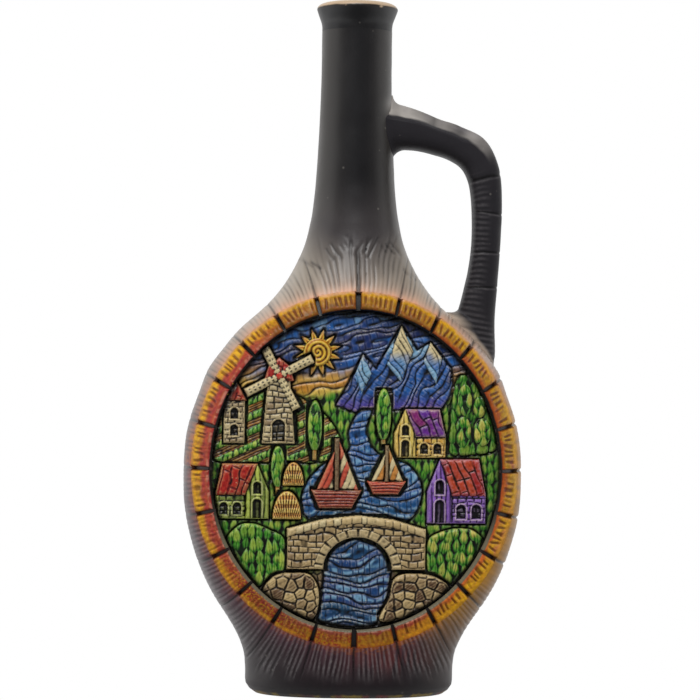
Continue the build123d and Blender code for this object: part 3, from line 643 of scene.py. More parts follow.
def makeFrontHalf():
    # One closed loop of rows: out over the shoulder, in at the seam, back inside, over the ledge, up the well.
    count = ring["blocks"] * ring["columnsPerBlock"]
    angle = np.arange(count) / count * turn - math.pi
    endZ, endSection = seamTargets(angle)
    share = np.linspace(0, 1, frontHalf["outerRows"])[:, None]

    def sweep(growth, inset, shares):  # rows between the oval and the seam, straight in height and section angle
        x, z = ringEdge(angle, growth)
        start = sectionAngle(x, z, inset)
        return flaskPoint(z + (endZ - z) * shares, start + (endSection - start) * shares, inset)

    outer = sweep(ring["band"], 0.0, share)
    moved, layers = dressFlask(outer, flaskNormal(outer))
    innerShare = np.linspace(1, 0, frontHalf["innerRows"])[:, None]
    rest = [*sweep(frontHalf["collarWall"], vessel["wall"], innerShare)]
    collar, ledge = frontHalf["collarWall"], -frontHalf["ledgeWidth"]
    ledgeBack, ledgeFront = plaqueBackY + frontHalf["ledgeThickness"], plaqueBackY
    for growth, y in [(collar, ledgeBack), (ledge, ledgeBack), (ledge, ledgeFront), (0, ledgeFront),
                      (0, (ledgeFront + groundY) / 2), (0, groundY), (0, groundY - 1.6)]:
        x, z = ringEdge(angle, growth)
        rest.append(np.stack([x, np.full(count, float(y)), z], axis=-1))
    for growth in (0.0, 0.05, ring["band"] * 0.5, ring["band"] - 0.05):
        x, z = ringEdge(angle, growth)
        surface = flaskPoint(z, sectionAngle(x, z))
        rest.append(surface - flaskNormal(surface) * ring["channelDepth"])
    rest = np.array(rest)
    points = np.concatenate([moved, rest])
    row = np.arange(-len(rest), 0)[:, None]  # the last four rows are the channel, and its first is the wall's top
    isWall = (row < -3) & (rest[..., 1] < ledgeFront - 0.2)
    # Painted shade and light: the well's wall is near black, and pale clay on its lower part, which faces up to the
    # light; the channel rows take the gaps' painted light and shade.
    clay = blend(np.where(row[..., None] >= -4, gapLightAndShade(rest[..., 2]), tones["wellWall"]), tones["rimClay"],
                 smooth(wellZ - 20, wellZ - 40, rest[..., 2]) * isWall)
    addPiece("flask_front_skin", points, "ring", bodySlip, "body_slip", "flask_front_half",
             **carriedOn(layers, rest, clay))


makeFrontHalf()
print("front half")


# Back half: loops of a C section from the waist to the neck seat

backHalf = {"rows": 560, "outerColumns": 124, "innerColumns": 18}


def makeBackHalf():
    # A C section at each height: round the outside one way and round the inside back.
    z = np.linspace(waistZ, seatZ, backHalf["rows"])[:, None]
    outerAngle = -np.linspace(0, 1, backHalf["outerColumns"])[None, :]
    outerAngle = math.pi * (outerAngle + 0.055 * np.sin(-outerAngle * turn))
    outer = flaskPoint(z, outerAngle)
    outer[:, [0, -1], 1] = 0.0
    moved, layers = dressFlask(outer, flaskNormal(outer))
    inner = flaskPoint(z, np.linspace(-math.pi, 0, backHalf["innerColumns"])[None, :], vessel["wall"])
    points = np.concatenate([moved, inner], axis=1)
    addPiece("flask_back_skin", points, "tube", bodySlip, "body_slip", "flask_back_half",
             **carriedOn(layers, inner, tones["backWall"], axis=1))


makeBackHalf()
print("back half")


# Neck and mouth ring: profiles turned round the upright axis

pipe = {"columns": 192, "outerRows": 150, "mouthRounding": 1.2}
lip = {
    "flareShares": [(0.00, 0.00), (0.30, 0.12), (0.57, 0.62), (0.78, 1.00)], "crownWidth": 3.9, "rows": 46,
    "rimColour": (198, 172, 142), "clayTop": 2.0, "chips": [(-0.35, 1.6), (0.55, 2.6), (2.2, 1.4), (4.0, 2.0)],
}


def turned(radius, z, columns):
    # A profile carried round the axis: each row is one circle.
    around = np.arange(columns) / columns * turn
    return np.stack([radius[:, None] * np.cos(around), radius[:, None] * np.sin(around),
                     np.broadcast_to(z[:, None], (len(z), columns))], axis=-1)


def makeNeck():
    # The neck's profile turned round the axis, and back down the straight bore and its taper.
    z = np.linspace(seatZ, lipZ, pipe["outerRows"])
    outer = turned(neckRadius(z), z, pipe["columns"])
    normal = outer * [1, 1, 0]
    normal = normal / np.linalg.norm(normal, axis=-1, keepdims=True)
    moved, layers = dressFlask(outer, normal)
    bore, boreEnd = vessel["boreWidth"] / 2, topZ - vessel["boreLength"]
    innerZ = np.array([lipZ, (lipZ + boreEnd) / 2, boreEnd, (seatZ + boreEnd) / 2, seatZ])
    taper = (vessel["neckSeatWidth"] / 2 - vessel["wall"] - bore) * np.array([0, 0, 0, 0.25, 1])
    inner = turned(bore + taper, innerZ, pipe["columns"])
    points = np.concatenate([moved, inner])
    addPiece("neck_skin", points, "ring", bodySlip, "body_slip", "neck",
             **carriedOn(layers, inner, tones["boreWall"]))


def makeLip():
    # The flare is a smooth curve up to the widest line, then a quarter oval rolls in to the bore.
    flare = np.array(lip["flareShares"])
    height = np.linspace(0, flare[-1, 0], lip["rows"])
    bulge = smoothCurve(flare[:, 0], flare[:, 1], height)
    base = vessel["neckWidth"] / 2
    outerRadius = base + (lipHigh[0] - base) * bulge
    outerZ = lipZ + (topZ - lipZ) * height
    roll = np.linspace(0, math.pi / 2, 22)[1:]
    rollRadius = lipHigh[0] - lip["crownWidth"] * (1 - np.cos(roll))
    rollZ = outerZ[-1] + (topZ - outerZ[-1]) * np.sin(roll)
    bore, ease = vessel["boreWidth"] / 2, pipe["mouthRounding"]
    fall = np.linspace(0, math.pi / 2, 7)
    radius = np.concatenate([outerRadius, rollRadius, bore + ease * (1 - np.sin(fall)), [bore, bore]])
    z = np.concatenate([outerZ, rollZ, topZ - ease * (1 - np.cos(fall)), [(lipZ + topZ) / 2, lipZ]])
    points = turned(radius, z, pipe["columns"])
    x, y, z = np.moveaxis(points, -1, 0)
    around = np.arctan2(y, x)
    edge = topZ - lip["clayTop"] + 0.5 * sway(around * 5 + 9, z * 0.1, 41)
    rim = smooth(edge - 0.35, edge + 0.35, z)
    bare = np.maximum(rim, x ** 2 + y ** 2 < (bore + ease + 0.2) ** 2)  # the top, the bore and some chips
    for place, size in lip["chips"]:
        far = np.hypot((around - (place - math.pi / 2)) * lipHigh[0], (z - topZ + 2.6) * 1.3)
        bare = np.maximum(bare, smooth(size * 0.42, size * 0.22, far + 0.5 * cloud(around * 30, z * 2, 7)))
    ground = blend(tones["charcoal"] * 0.75, paint(*lip["rimColour"]), bare)
    waver = 0.12 * sway(around * 4 + 3, z / 4, 43) + 0.06
    points = points - points * [1, 1, 0] / np.hypot(x, y)[..., None] * waver[..., None]
    addPiece("lip", points, "ring", lipClay, "lip_clay", "mouth_ring", paint=ground, hollow=0 * rim,
             ridge=smooth(topZ - 4, topZ - 1, z) * (1 - rim) * 0.5)


lipClay = firedClay("lipClay", rub=0.18, rubColour=(150, 120, 95), roughLow=0.34, roughHigh=0.44, patchAmount=0.12,
                    speckAmount=0.4, sheenless=0.5)
makeNeck()
makeLip()
print("neck and lip")


# Strap handle: flattened ovals carried along a bent line, with a chamfer over the arm and fillets at both roots

handleLow, handleHigh = nodeBox("handle")
strap = {
    "reach": 57.1, "thickness": 12.5, "depth": 16.5, "lowZ": 134.0, "rise": 110.5, "squareness": 2.8,
    "lineShares": [  # reach and rise, from the shoulder to the neck
        (0.865, 0.000), (0.915, 0.208), (0.970, 0.393), (1.000, 0.624), (0.993, 0.728), (0.970, 0.801),
        (0.914, 0.860), (0.806, 0.908), (0.640, 0.946), (0.480, 0.973), (0.280, 0.990), (0.120, 1.000),
    ],
    "sizeShares": [  # thickness and depth at even steps along the line
        (1.76, 1.20), (1.68, 1.17), (1.34, 1.06), (1.12, 1.01), (1.00, 1.00), (1.00, 1.00), (1.06, 1.00),
        (1.16, 1.02), (1.20, 1.05), (1.36, 1.10), (1.64, 1.15), (1.84, 1.18),
    ],
    "grooves": [  # rise, tilt and thickness
        (0.362, 0.0, 0.38), (0.498, 0.0, 0.38), (0.652, -0.006, 0.40), (0.789, 0.016, 0.75),
    ],
    "grooveDepth": 0.30, "strokePitch": 2.4, "strokeDepth": 0.16, "rows": 520, "columns": 112,
    "lumps": 0.16, "drawnIn": 0.07, "fillet": 3.6, "web": 4.6, "chamfer": 0.80, "chamferTurn": 0.46,
    "rootDrop": 1.4, "heelDrop": 2.4, "bendOut": 1.2, "bendAt": 0.69, "armFrom": (0.60, 0.74),
    "uprightTo": (0.66, 0.60), "strokedTo": (0.66, 0.50), "tone": (43, 41, 45), "armTop": (172, 166, 160),
    "litEdge": 0.44, "litFrom": (0.62, 0.68), "litTo": (0.955, 0.985),  # the pairs are shares of the line
    "wornPatches": [(0.79, 0.030, 0.62), (0.715, 0.020, 0.55), (0.675, 0.022, 0.35)],  # share of the line, width, size
}


def strapLine(share):
    # A smooth curve through the points, by length: place, direction and the outward side of the bend.
    knots = np.array(strap["lineShares"]) * [strap["reach"], strap["rise"]] + [0, strap["lowZ"]]
    chord = runOf(np.linalg.norm(np.diff(knots, axis=0), axis=1))
    fine = np.linspace(0, chord[-1], 900)
    x, z = smoothCurve(chord, knots[:, 0], fine), smoothCurve(chord, knots[:, 1], fine)
    run = runOf(np.hypot(np.diff(x), np.diff(z)))
    at = share * run[-1]
    slopeX, slopeZ = np.gradient(x, run), np.gradient(z, run)
    return (np.interp(at, run, x), np.interp(at, run, z), np.interp(at, run, slopeX), np.interp(at, run, slopeZ),
            run[-1])


def awayFromBody(points):
    # Distance outside the flask or the neck, by the equation's value over its slope.
    x, y, z = np.moveaxis(points, -1, 0)
    wide, deep, square = outline(z)
    value = ((np.abs(x) / wide) ** square + (np.abs(y) / deep) ** square) ** (1 / square) - 1
    flask = value * np.minimum(np.hypot(x, y) / (value + 1), 60)
    return np.where(z < seatZ, flask, np.hypot(x, y) - neckRadius(z))


def strapForm():
    # Flattened ovals round the line, cut by a chamfer over the arm, with trims at the bend and the roots.
    share = np.linspace(0, 1, strap["rows"])
    x, z, slopeX, slopeZ, length = strapLine(share)
    sizes = np.array(strap["sizeShares"])
    steps = np.linspace(0, 1, len(sizes))
    halfThick = strap["thickness"] / 2 * smoothCurve(steps, sizes[:, 0], share)[:, None]
    halfDeep = strap["depth"] / 2 * smoothCurve(steps, sizes[:, 1], share)[:, None]
    around = np.arange(strap["columns"]) / strap["columns"] * turn
    outward, front = np.cos(around)[None, :], np.sin(around)[None, :]
    radius = roundness(outward, front, strap["squareness"])
    onArm = smooth(*strap["armFrom"], share)[:, None]
    lean = strap["chamferTurn"] * turn / 4
    facing = outward * math.cos(lean) + front * math.sin(lean)
    cut = np.where(facing > 0.05, (1.5 - (1.5 - strap["chamfer"]) * onArm) / np.maximum(facing, 0.05), 9)
    radius = np.minimum(radius, cut)
    trim = strap["bendOut"] * np.exp(-((share - strap["bendAt"]) / 0.04) ** 2)
    trim = trim - strap["rootDrop"] * smooth(0.755, 0.83, share) - strap["heelDrop"] * smooth(0.09, 0.0, share)
    reach = outward * radius * halfThick + np.maximum(outward, 0) * trim[:, None]
    offset = np.stack([slopeZ[:, None] * reach, -front * radius * halfDeep, -slopeX[:, None] * reach], axis=-1)
    points = np.stack([x, 0 * x, z], axis=-1)[:, None, :] + offset
    normal = offset / np.linalg.norm(offset, axis=-1, keepdims=True)
    return points, normal, share[:, None], around, outward, front, radius, length


def strapSwell(away, share, outward, front):
    # Fillets at both roots: a quarter round by the distance from the body, and a web in the corner at the shoulder.
    fillet = strap["fillet"] * (1 - 0.35 * smooth(0.7, 0.9, share) * smooth(0.7, 0.3, np.abs(outward)))
    fillet = fillet * (1 + 0.5 * smooth(0.7, 0.9, share) * smooth(-0.4, -0.8, outward))
    close = np.clip(1 - away / fillet, 0, 1)
    swell = fillet * (1 - np.sqrt(1 - close ** 2 * 0.98))
    swell = swell * (1 - 0.85 * smooth(0.1, 0.8, front) * smooth(0.8, 0.9, share))
    swell = swell * (1 - 0.8 * smooth(0.2, 0.8, outward) * smooth(0.3, 0.1, share))
    onWeb = smooth(0.05, 0.75, -outward) * smooth(0.4, 0.2, share)
    bowl = np.clip((1.707 * strap["web"] - away) / (0.707 * strap["web"]), 0, 1)
    bowl = strap["web"] * (1 - np.sqrt(1 - bowl ** 2)) + 0.6 * np.maximum(strap["web"] - away, 0)
    return swell + (np.maximum(bowl, swell) - swell) * onWeb, close, onWeb


def makeHandle():
    # Grooves lie by height, strokes by length along the strap, and wear and a painted highlight by the side that faces
    # out and up.
    points, normal, share, around, outward, front, radius, length = strapForm()
    away = awayFromBody(points)
    swell, close, onWeb = strapSwell(away, share, outward, front)
    rise = (points[..., 2] - strap["lowZ"]) / strap["rise"]
    upright = smooth(*strap["uprightTo"], share)
    groove, below = np.zeros(points.shape[:2]), np.zeros(points.shape[:2])
    for place, tilt, thick in strap["grooves"]:  # a thin cut with a painted highlight on the lip under it
        gapTo = (rise - place - tilt * outward) * strap["rise"]
        groove = np.maximum(groove, np.exp(-(gapTo / thick) ** 2) * upright * smooth(-0.1, 0.5, front))
        lipTo = (gapTo + 0.45 + 0.9 * thick) / 0.40
        below = np.maximum(below, np.exp(-lipTo ** 2) * upright * smooth(-0.2, 0.4, front))
    run = share * length
    phase = run / strap["strokePitch"] + 0.8 * cloud(run / 9, front * 2 + 4, 51)
    profile = wave(phase) ** 1.6
    lowEnd = 1.4 * smooth(0.24, 0.10, share)  # near the shoulder the strokes cross the whole strap
    across = smooth(0.30 + lowEnd, -0.5 + lowEnd, outward)
    stroked = smooth(*strap["strokedTo"], share)
    stroke = profile * smooth(0.1, 0.8, cloud(np.floor(phase) * 0.9, outward * 1.6 + 5, 53)) * across
    stroke = stroke * smooth(-0.2, 0.4, front) * stroked
    lumps = strap["lumps"] * sway(run / 5 + 3, around * 1.6, 57) + strap["drawnIn"]
    depth = strap["grooveDepth"] * groove + strap["strokeDepth"] * stroke + lumps
    points = points + normal * (swell - depth * (1 - close))[..., None]
    # Painted highlight: the outward side of the upper arm is painted pale, in patches, fading towards both ends.
    facing = outward * radius + 0.10 * cloud(run / 3, around * 3, 55)
    topLit = smooth(strap["litEdge"] - 0.07, strap["litEdge"] + 0.09, facing)
    patches = sum(size * np.exp(-((share - place) / wide) ** 2) for place, wide, size in strap["wornPatches"])
    patches = np.maximum(smooth(0.80, 0.90, share), patches * (0.75 + 0.5 * cloud(share * 60, 0, 61)))
    topLit = topLit * (0.10 + 0.90 * patches) * smooth(*strap["litFrom"], share) * smooth(-0.3, 0.1, front)
    topLit = topLit * (1 - smooth(*strap["litTo"], share)) * (0.7 + 0.5 * cloud(run / 4, around * 2, 58))
    ground = blend(paint(*strap["tone"]), paint(*strap["armTop"]), np.clip(topLit, 0, 1))
    x, y, z = np.moveaxis(points, -1, 0)
    reached = away + 0.9 * sway(x / 2, z / 2, 60)
    dusted = np.maximum(smooth(2.8, 0.3, reached), onWeb * smooth(6.5, 3.2, reached))
    ground = blend(ground, slipPaint(x, y, z, *ringPlace(x, z)), dusted * (z < seatZ))
    edgeWear = smooth(0.75, 0.98, outward) * smooth(0.3, 0.8, cloud(run / 3, around * 2, 59))
    edgeWear = edgeWear * (0.9 + 1.7 * np.exp(-((share - 0.65) / 0.08) ** 2))
    worn = (0.6 - profile) * 0.9 * stroked * smooth(-0.1, 0.5, front) * across * (1 - dusted)
    addPiece("handle_strap", points, "tube", handleSlip, "handle_slip", "handle", paint=ground,
             hollow=np.clip(groove * 0.8 + stroke * 0.2, 0, 1),
             ridge=np.clip(worn + edgeWear + below * 0.6, 0, 1))


handleSlip = firedClay("handleSlip", rub=0.42, rubColour=(140, 135, 138), rubScale=600.0, washColour=(14, 13, 14),
                       roughHigh=0.52, patchAmount=0.14, speckAmount=0.2, speckScale=330.0, sheenless=0.18)
makeHandle()
print("handle")


# Foot: the bevelled ring, with a thin line of bare clay along its lower edge

foot = {
    "bevelWidth": 3.8, "bevelHeight": 3.6, "columns": 900, "rows": 34, "innerTop": 6.0,
    "lineHeight": 1.5, "lineColours": [(165, 138, 22), (132, 40, 34)],
}


def footLoop(inset, angle):  # the foot's outline drawn in by an inset
    square = vessel["footSquareness"]
    reach = roundness(np.cos(angle), np.sin(angle), square)
    return (footHigh[0] - inset) * np.cos(angle) * reach, (footHigh[1] - inset) * np.sin(angle) * reach


def makeFoot():
    # The bevelled profile carried round the superellipse, up to the waist and back inside.
    bevelWide, bevelTall, wall = foot["bevelWidth"], foot["bevelHeight"], vessel["wall"]
    profile = along([(bevelWide, 0), (bevelWide * 0.45, bevelTall * 0.42), (bevelWide * 0.06, bevelTall * 1.02),
                     (0, bevelTall * 1.5), (0, waistZ)], foot["rows"])
    rows = np.vstack([profile, [(wall, waistZ), (wall, foot["innerTop"]), (wall, 0)]])
    angle = (np.arange(foot["columns"]) / foot["columns"] * turn)[None, :]
    x, y = footLoop(rows[:, :1], angle)
    z = rows[:, 1:] + 0 * angle
    outer = np.arange(len(rows))[:, None] < len(profile)
    place, growth, _, groove, stroke, presence = ringCarving(x, y, z)
    hollow, ridge = strokeLayers(z, groove, stroke, presence, 0)
    lumps = 0.08 * sway(angle * 9, z / 4, 61) + 0.05
    lumps = lumps + (ring["strokeDepth"] * stroke + ring["grooveDepth"] * groove) * frontShare(y)
    size = 1 - (lumps - waistFill(z)) * outer / np.hypot(x, y)
    points = np.stack([x * size, y * size, z], axis=-1)
    lineColour = blend(*(paint(*rgb) for rgb in foot["lineColours"]), smooth(0.4, 0.6, cloud(angle * 7, 0, 63)))
    line = smooth(foot["lineHeight"] * 1.3, foot["lineHeight"] * 0.5, z + 0.8 * sway(angle * 40, z, 65))
    line = line * smooth(0.25, 0.6, cloud(angle * 11, 4, 67)) * outer
    ground = blend(slipPaint(x, y, z, place, growth), lineColour, line)
    ground = blend(ground, paint(*lip["rimColour"]) * 0.7, 1.0 - outer)
    addPiece("foot", points, "ring", footSlip, "foot_slip", "foot_ring", paint=ground, hollow=hollow * outer,
             ridge=np.maximum(ridge, 0.1 * smooth(6, 2, z)) * outer)


footSlip = firedClay("footSlip", **slipFinish, patchAmount=0.12, speckAmount=0.2)
makeFoot()

bareClay = firedClay("bareClay", colour=(176, 140, 105), roughLow=0.75, roughHigh=0.9, patchAmount=0.18,
                     sheenless=0.25, bump=0.5, pitDepth=0.6, speckColour=(110, 80, 60), speckAmount=0.5)
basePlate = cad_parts["base_plate"]
for index in range(max(1, len(basePlate.data.materials))):
    if basePlate.data.materials:
        basePlate.data.materials[index] = bareClay
    else:
        basePlate.data.materials.append(bareClay)
print("foot and base")


# Blocks round the medallion: low pillows in the channel, notched by the same strokes as the slip beyond them

blocks = {
    "along": 84, "across": 32, "innerRounding": 1.5, "endRounding": 1.1, "outerRounding": 0.08, "sink": 0.05,
    "floor": 2.35, "notchOuter": 5.8, "notchInner": 1.3, "notchShift": 0.3, "notches": 8, "deepen": 0.66,
    "leftDeepen": 0.92,
    "colours": {
        "gold": (212, 148, 14), "yellow": (232, 172, 4), "crimson": (176, 56, 52), "orange": (204, 92, 26),
        "brown": (116, 50, 14), "blush": (232, 176, 160), "coral": (222, 130, 82), "rust": (186, 66, 26),
        # black and rim paint the inner edge: shade on the upper half, light on the lower half.
        "black": (14, 12, 12), "rim": (116, 108, 88),
    },
    "sectors": {  # degrees round the medallion, clockwise from the top: where a sector begins, is full, fades and ends
        "left": (215, 240, 312, 335), "lowLeft": (192, 205, 222, 245), "low": (140, 165, 195, 210),
        "right": (20, 40, 135, 155), "lowRight": (85, 125, 152, 172), "calm": (155, 180, 245, 265),
    },
}
blockTones = {name: paint(*rgb) for name, rgb in blocks["colours"].items()}


def edgeFall(distance, radius):  # how far a quarter round has dropped at a distance in from the edge
    share = np.clip(1 - distance / radius, 0, 1)
    return radius * (1 - np.sqrt(np.maximum(1 - share ** 2, 0)))


def skirted(field, under=None):
    # A grid with one more row or column at each side, whose values come from the layer under it or its own edge.
    under = field if under is None else under
    ends = ((1, 1), (1, 1)) + ((0, 0),) * (field.ndim - 2)
    full, low = np.pad(field, ends, mode="edge"), np.pad(under, ends, mode="edge")
    full[[0, -1]], full[:, [0, -1]] = low[[0, -1]], low[:, [0, -1]]
    return full


def roundedSteps(count, length):
    # Positions from one edge to the other, closer together where the edge is round.
    share = np.linspace(0, 1, count)
    bunched = (1 - np.cos(share * math.pi)) / 2
    return length * (0.55 * bunched + 0.45 * share)


def blockPaint(angle, growth, within):
    # The colours lie in sectors round the oval, each with bands by the growth, broken up by noise.
    gold, yellow, crimson, orange, brown, blush, coral, rust, black, rim = blockTones.values()
    around = np.degrees(angle) % 360
    left, lowLeft, low, right, lowRight, _ = (between(around, *span) for span in blocks["sectors"].values())
    number = np.floor(around / 15)
    wobble = 2.0 * sway(within * 5, number * 3.3, 71) + 1.2 * (chance(number, 0, 72) - 0.5)
    speckle = smooth(0.42, 0.66, cloud(within * 17, growth * 1.3 + number * 5, 73))
    fine = smooth(0.5, 0.8, cloud(within * 34, growth * 2.6 + number * 3, 74))
    broad = smooth(0.35, 0.7, cloud(within * 2, number * 5.1, 76))
    bent = growth + wobble
    ground = blend(blend(gold, brown, smooth(3.6, 1.0, bent) * 0.7), rust, speckle * 0.35)
    rosy = blend(yellow, crimson, smooth(4.8, 3.0, bent))
    ground = blend(ground, blend(rosy, orange, 0.35 * speckle), left)
    warm = blend(yellow, orange, smooth(3.0, 1.0, bent))
    warm = blend(warm, coral, smooth(4.6, 6.4, growth + 2 * wobble) * broad)
    ground = blend(ground, blend(warm, rust, 0.3 * speckle), right)
    ground = blend(ground, blend(blend(rust, crimson, smooth(3.2, 1.5, bent)), yellow, fine * 0.8), lowLeft)
    bottom = blend(rust, yellow, np.maximum(fine, speckle) * 0.6)
    bottom = blend(bottom, crimson, smooth(3.0, 1.6, growth + wobble * 0.6))
    bottom = blend(bottom, gold, 0.55 * smooth(183, 172, around) * smooth(2.0, 3.6, bent))
    ground = blend(ground, bottom, low)
    # Painted highlight: pale pink along the inner edge of the low and left blocks.
    ground = blend(ground, blush, smooth(1.5, 0.9, growth) * np.maximum(low, left * 0.6) * speckle * 0.6)
    lift = left + 0.06 * right * smooth(40, 75, around) - 0.12 * right * smooth(85, 60, around) + 1.9 * lowRight
    lift = np.clip(lift, -0.2, 2.0)
    ground = ground * (blocks["deepen"] + (blocks["leftDeepen"] - blocks["deepen"]) * lift)[..., None]
    ground = blend(ground, yellow, smooth(5.0, 6.2, growth + wobble * 0.3) * (1 - low) * 0.6)
    ground = ground * (0.78 + 0.44 * cloud(within * 21, growth * 2 + around, 75))[..., None]
    # Painted shade and light on the inner edge: near black on the upper half, pale clay on the lower half, which faces
    # up.
    lowHalf = smooth(-0.15, -0.5, np.cos(angle))
    limit = 0.40 + 0.45 * lowHalf
    return blend(ground, blend(black, rim, lowHalf), smooth(limit, limit - 0.22, growth))


def makeBlock(index):
    # A patch of the flask's surface, let down by the rounding of its edges, by notches and by lumps.
    across = roundedSteps(blocks["across"], ring["band"] - 0.04) + 0.02
    middle = (index + 0.5) / ring["blocks"] * turn
    speed = np.hypot(wellWide * math.cos(middle), wellTall * math.sin(middle))
    gaps = [ring["topGap" if index % 12 == beside else "gap"] / 2 / speed for beside in (0, 11)]
    start, end = index / ring["blocks"] * turn + gaps[0], (index + 1) / ring["blocks"] * turn - gaps[1]
    angle, growth = np.meshgrid(start + roundedSteps(blocks["along"], end - start), across)
    x, z = ringEdge(angle, growth)
    surface = flaskPoint(z, sectionAngle(x, z))
    normal = flaskNormal(surface)
    _, _, block, _, stroke, _ = ringCarving(*np.moveaxis(surface, -1, 0))
    within = block % 1
    toEnd = np.minimum(angle - start, end - angle) * speed
    phase = within * blocks["notches"] + 0.8 * sway(within * 6, growth / 6 + index * 5, 83)
    number = np.floor(phase) + 31 * index
    drawnIn = blocks["notchShift"] * smooth(0.55, 0.2, np.cos(middle))
    onLeft = smooth(195, 225, np.degrees(middle)) * smooth(345, 325, np.degrees(middle))
    inner = blocks["notchInner"] + 1.6 * (chance(number, 0, 81) - 0.3) - 0.5 * drawnIn + 1.4 * onLeft
    outer = blocks["notchOuter"] - drawnIn + 0.9 * onLeft
    window = smooth(inner - 0.6, inner + 0.9, growth) * smooth(outer + 0.6, outer - 0.6, growth)
    window = window * smooth(0.9, 2.0, toEnd) * smooth(-0.1, 0.4, chance(number, 0, 82))
    calm = between(np.degrees(middle), *blocks["sectors"]["calm"])
    notch = smooth(0.28, 0.80, wave(phase)) * window * (1 - 0.65 * calm)
    fall = np.maximum(edgeFall(growth - across[0], blocks["innerRounding"]), edgeFall(toEnd, blocks["endRounding"]))
    fall = np.maximum(fall, edgeFall(across[-1] - growth, blocks["outerRounding"]))
    lumps = 0.30 * cloud(angle * 26, growth / 2.5, 77) * smooth(ring["band"], ring["band"] - 2.0, growth)
    depth = blocks["sink"] + fall + ring["notchDepth"] * notch + 0.5 * ring["strokeDepth"] * stroke + lumps
    full = skirted(surface - normal * depth[..., None], surface - normal * blocks["floor"])
    softEdge = 0.65 * smooth(6.1, 7.5, growth + 0.9 * sway(within * 9, index, 78))
    ground = blend(blockPaint(angle, growth, within), slipPaint(x, surface[..., 1], z, angle, growth), softEdge)
    # The block's skirt takes the gaps' painted light and shade.
    side = gapLightAndShade(z)
    side[0] = ground[0]
    hollow = np.clip(0.78 * notch + 0.8 * smooth(0.7, 0.1, toEnd) * smooth(0.5, 1.0, growth), 0, 1)
    ridge = np.clip(0.4 - notch, 0, 1) * window + 0.3 * smooth(2.2, 1.2, growth) * smooth(0.5, 1.0, growth)
    addPiece(f"block_{index + 1:02d}", full, "sheet", borderGlaze, "border_glaze", f"border_block_{index + 1:02d}",
             paint=skirted(ground, side), hollow=skirted(hollow), ridge=skirted(ridge, 0 * ridge))


borderGlaze = firedClay("borderGlaze", roughLow=0.34, roughHigh=0.50, coat=0.05, sheenless=0.3, wash=0.95,
                        washColour=(92, 30, 9), rubColour=(250, 215, 120), patchAmount=0.20, patchScale=170.0,
                        speckAmount=0.5, speckScale=520.0, speckColour=(245, 200, 70), bump=0.3)
for index in range(ring["blocks"]):
    makeBlock(index)
print("blocks")


# The relief: each motif is a window of one fine lattice over the medallion, seen from the front

relief = {
    "step": 0.25, "tops": (1.0, 1.9, 2.8, 3.5), "pocketDepth": 1.0, "edgeMargin": 1.2,
    "rounding": 1.5, "wallSlope": 6.0, "skirt": 0.8, "crevice": 1.14, "fineBlur": 0.6, "wideBlur": 2.4,
    "frameWidth": 0.8, "plaqueColumns": 300,
}
palette = {
    "crimson": (166, 14, 18), "scarlet": (202, 36, 18), "yellow": (228, 186, 4), "amber": (205, 124, 10),
    "violet": (100, 38, 158), "lilac": (148, 98, 200), "green": (50, 144, 18), "deepGreen": (14, 64, 18),
    "lime": (190, 206, 76), "blue": (28, 106, 188), "deepBlue": (14, 44, 108), "sky": (140, 192, 224),
    "stone": (118, 90, 64), "paleStone": (202, 174, 120), "cream": (222, 204, 156), "brown": (84, 48, 26),
    "orange": (214, 92, 22), "black": (12, 11, 11), "straw": (232, 205, 96), "teal": (24, 120, 118),
}
tints = {name: paint(*rgb) for name, rgb in palette.items()}
latticeX = np.arange(-wellWide - 1.5, wellWide + 1.5, relief["step"])
latticeZ = np.arange(-wellTall - 1.5, wellTall + 1.5, relief["step"])
lowTop, middleTop, highTop, topTop = relief["tops"]
coveredMap = np.full((len(latticeZ), len(latticeX)), -99.0)  # how far inside the outlines drawn so far


def spots(shares):  # places on the medallion, in millimetres from its centre
    return np.asarray(shares, float) * [wellWide, wellTall]


def outlineGap(corners, x, z):
    # Distance to the nearest side, positive inside: from there a level ray crosses an odd number of sides.
    nearest, inside = np.full(x.shape, 1e9), np.zeros(x.shape, bool)
    for (startX, startZ), (endX, endZ) in zip(corners, np.roll(corners, -1, axis=0)):
        runX, runZ = endX - startX, endZ - startZ
        share = np.clip(((x - startX) * runX + (z - startZ) * runZ) / (runX ** 2 + runZ ** 2 + 1e-12), 0, 1)
        nearest = np.minimum(nearest, np.hypot(x - startX - share * runX, z - startZ - share * runZ))
        if runZ:
            inside ^= ((startZ > z) != (endZ > z)) & (x < startX + (z - startZ) * runX / runZ)
    return np.where(inside, nearest, -nearest)


def blobGap(shares, x, z, perSide=6):
    # A smooth loop through the corners: each side is a cubic that leaves along its neighbours' chord.
    corner = spots(shares)
    before, after, beyond = np.roll(corner, 1, axis=0), np.roll(corner, -1, axis=0), np.roll(corner, -2, axis=0)
    t = (np.arange(perSide) / perSide)[None, :, None]
    a, b, c, d = before[:, None], corner[:, None], after[:, None], beyond[:, None]
    loop = 0.5 * (2 * b + (c - a) * t + (2 * a - 5 * b + 4 * c - d) * t ** 2 + (3 * b - a - 3 * c + d) * t ** 3)
    return outlineGap(loop.reshape(-1, 2), x, z)


def ovalGap(middleX, middleZ, halfWide, halfTall, x, z):  # roughly the distance inside an oval
    return (1 - np.hypot((x - middleX) / halfWide, (z - middleZ) / halfTall)) * min(halfWide, halfTall)


def boxGap(box, x, z):  # box is left, low, right and high in millimetres
    left, low, right, high = box
    return np.minimum(np.minimum(x - left, right - x), np.minimum(z - low, high - z))


def boxSpots(shares):  # a box given in shares of the medallion's half width and half height
    return tuple(spots([shares[:2], shares[2:]]).ravel())


def partOf(box, shares):  # a smaller box given in shares of a box
    left, low, right, high = box
    wide, tall = right - left, high - low
    return left + wide * shares[0], low + tall * shares[1], left + wide * shares[2], low + tall * shares[3]


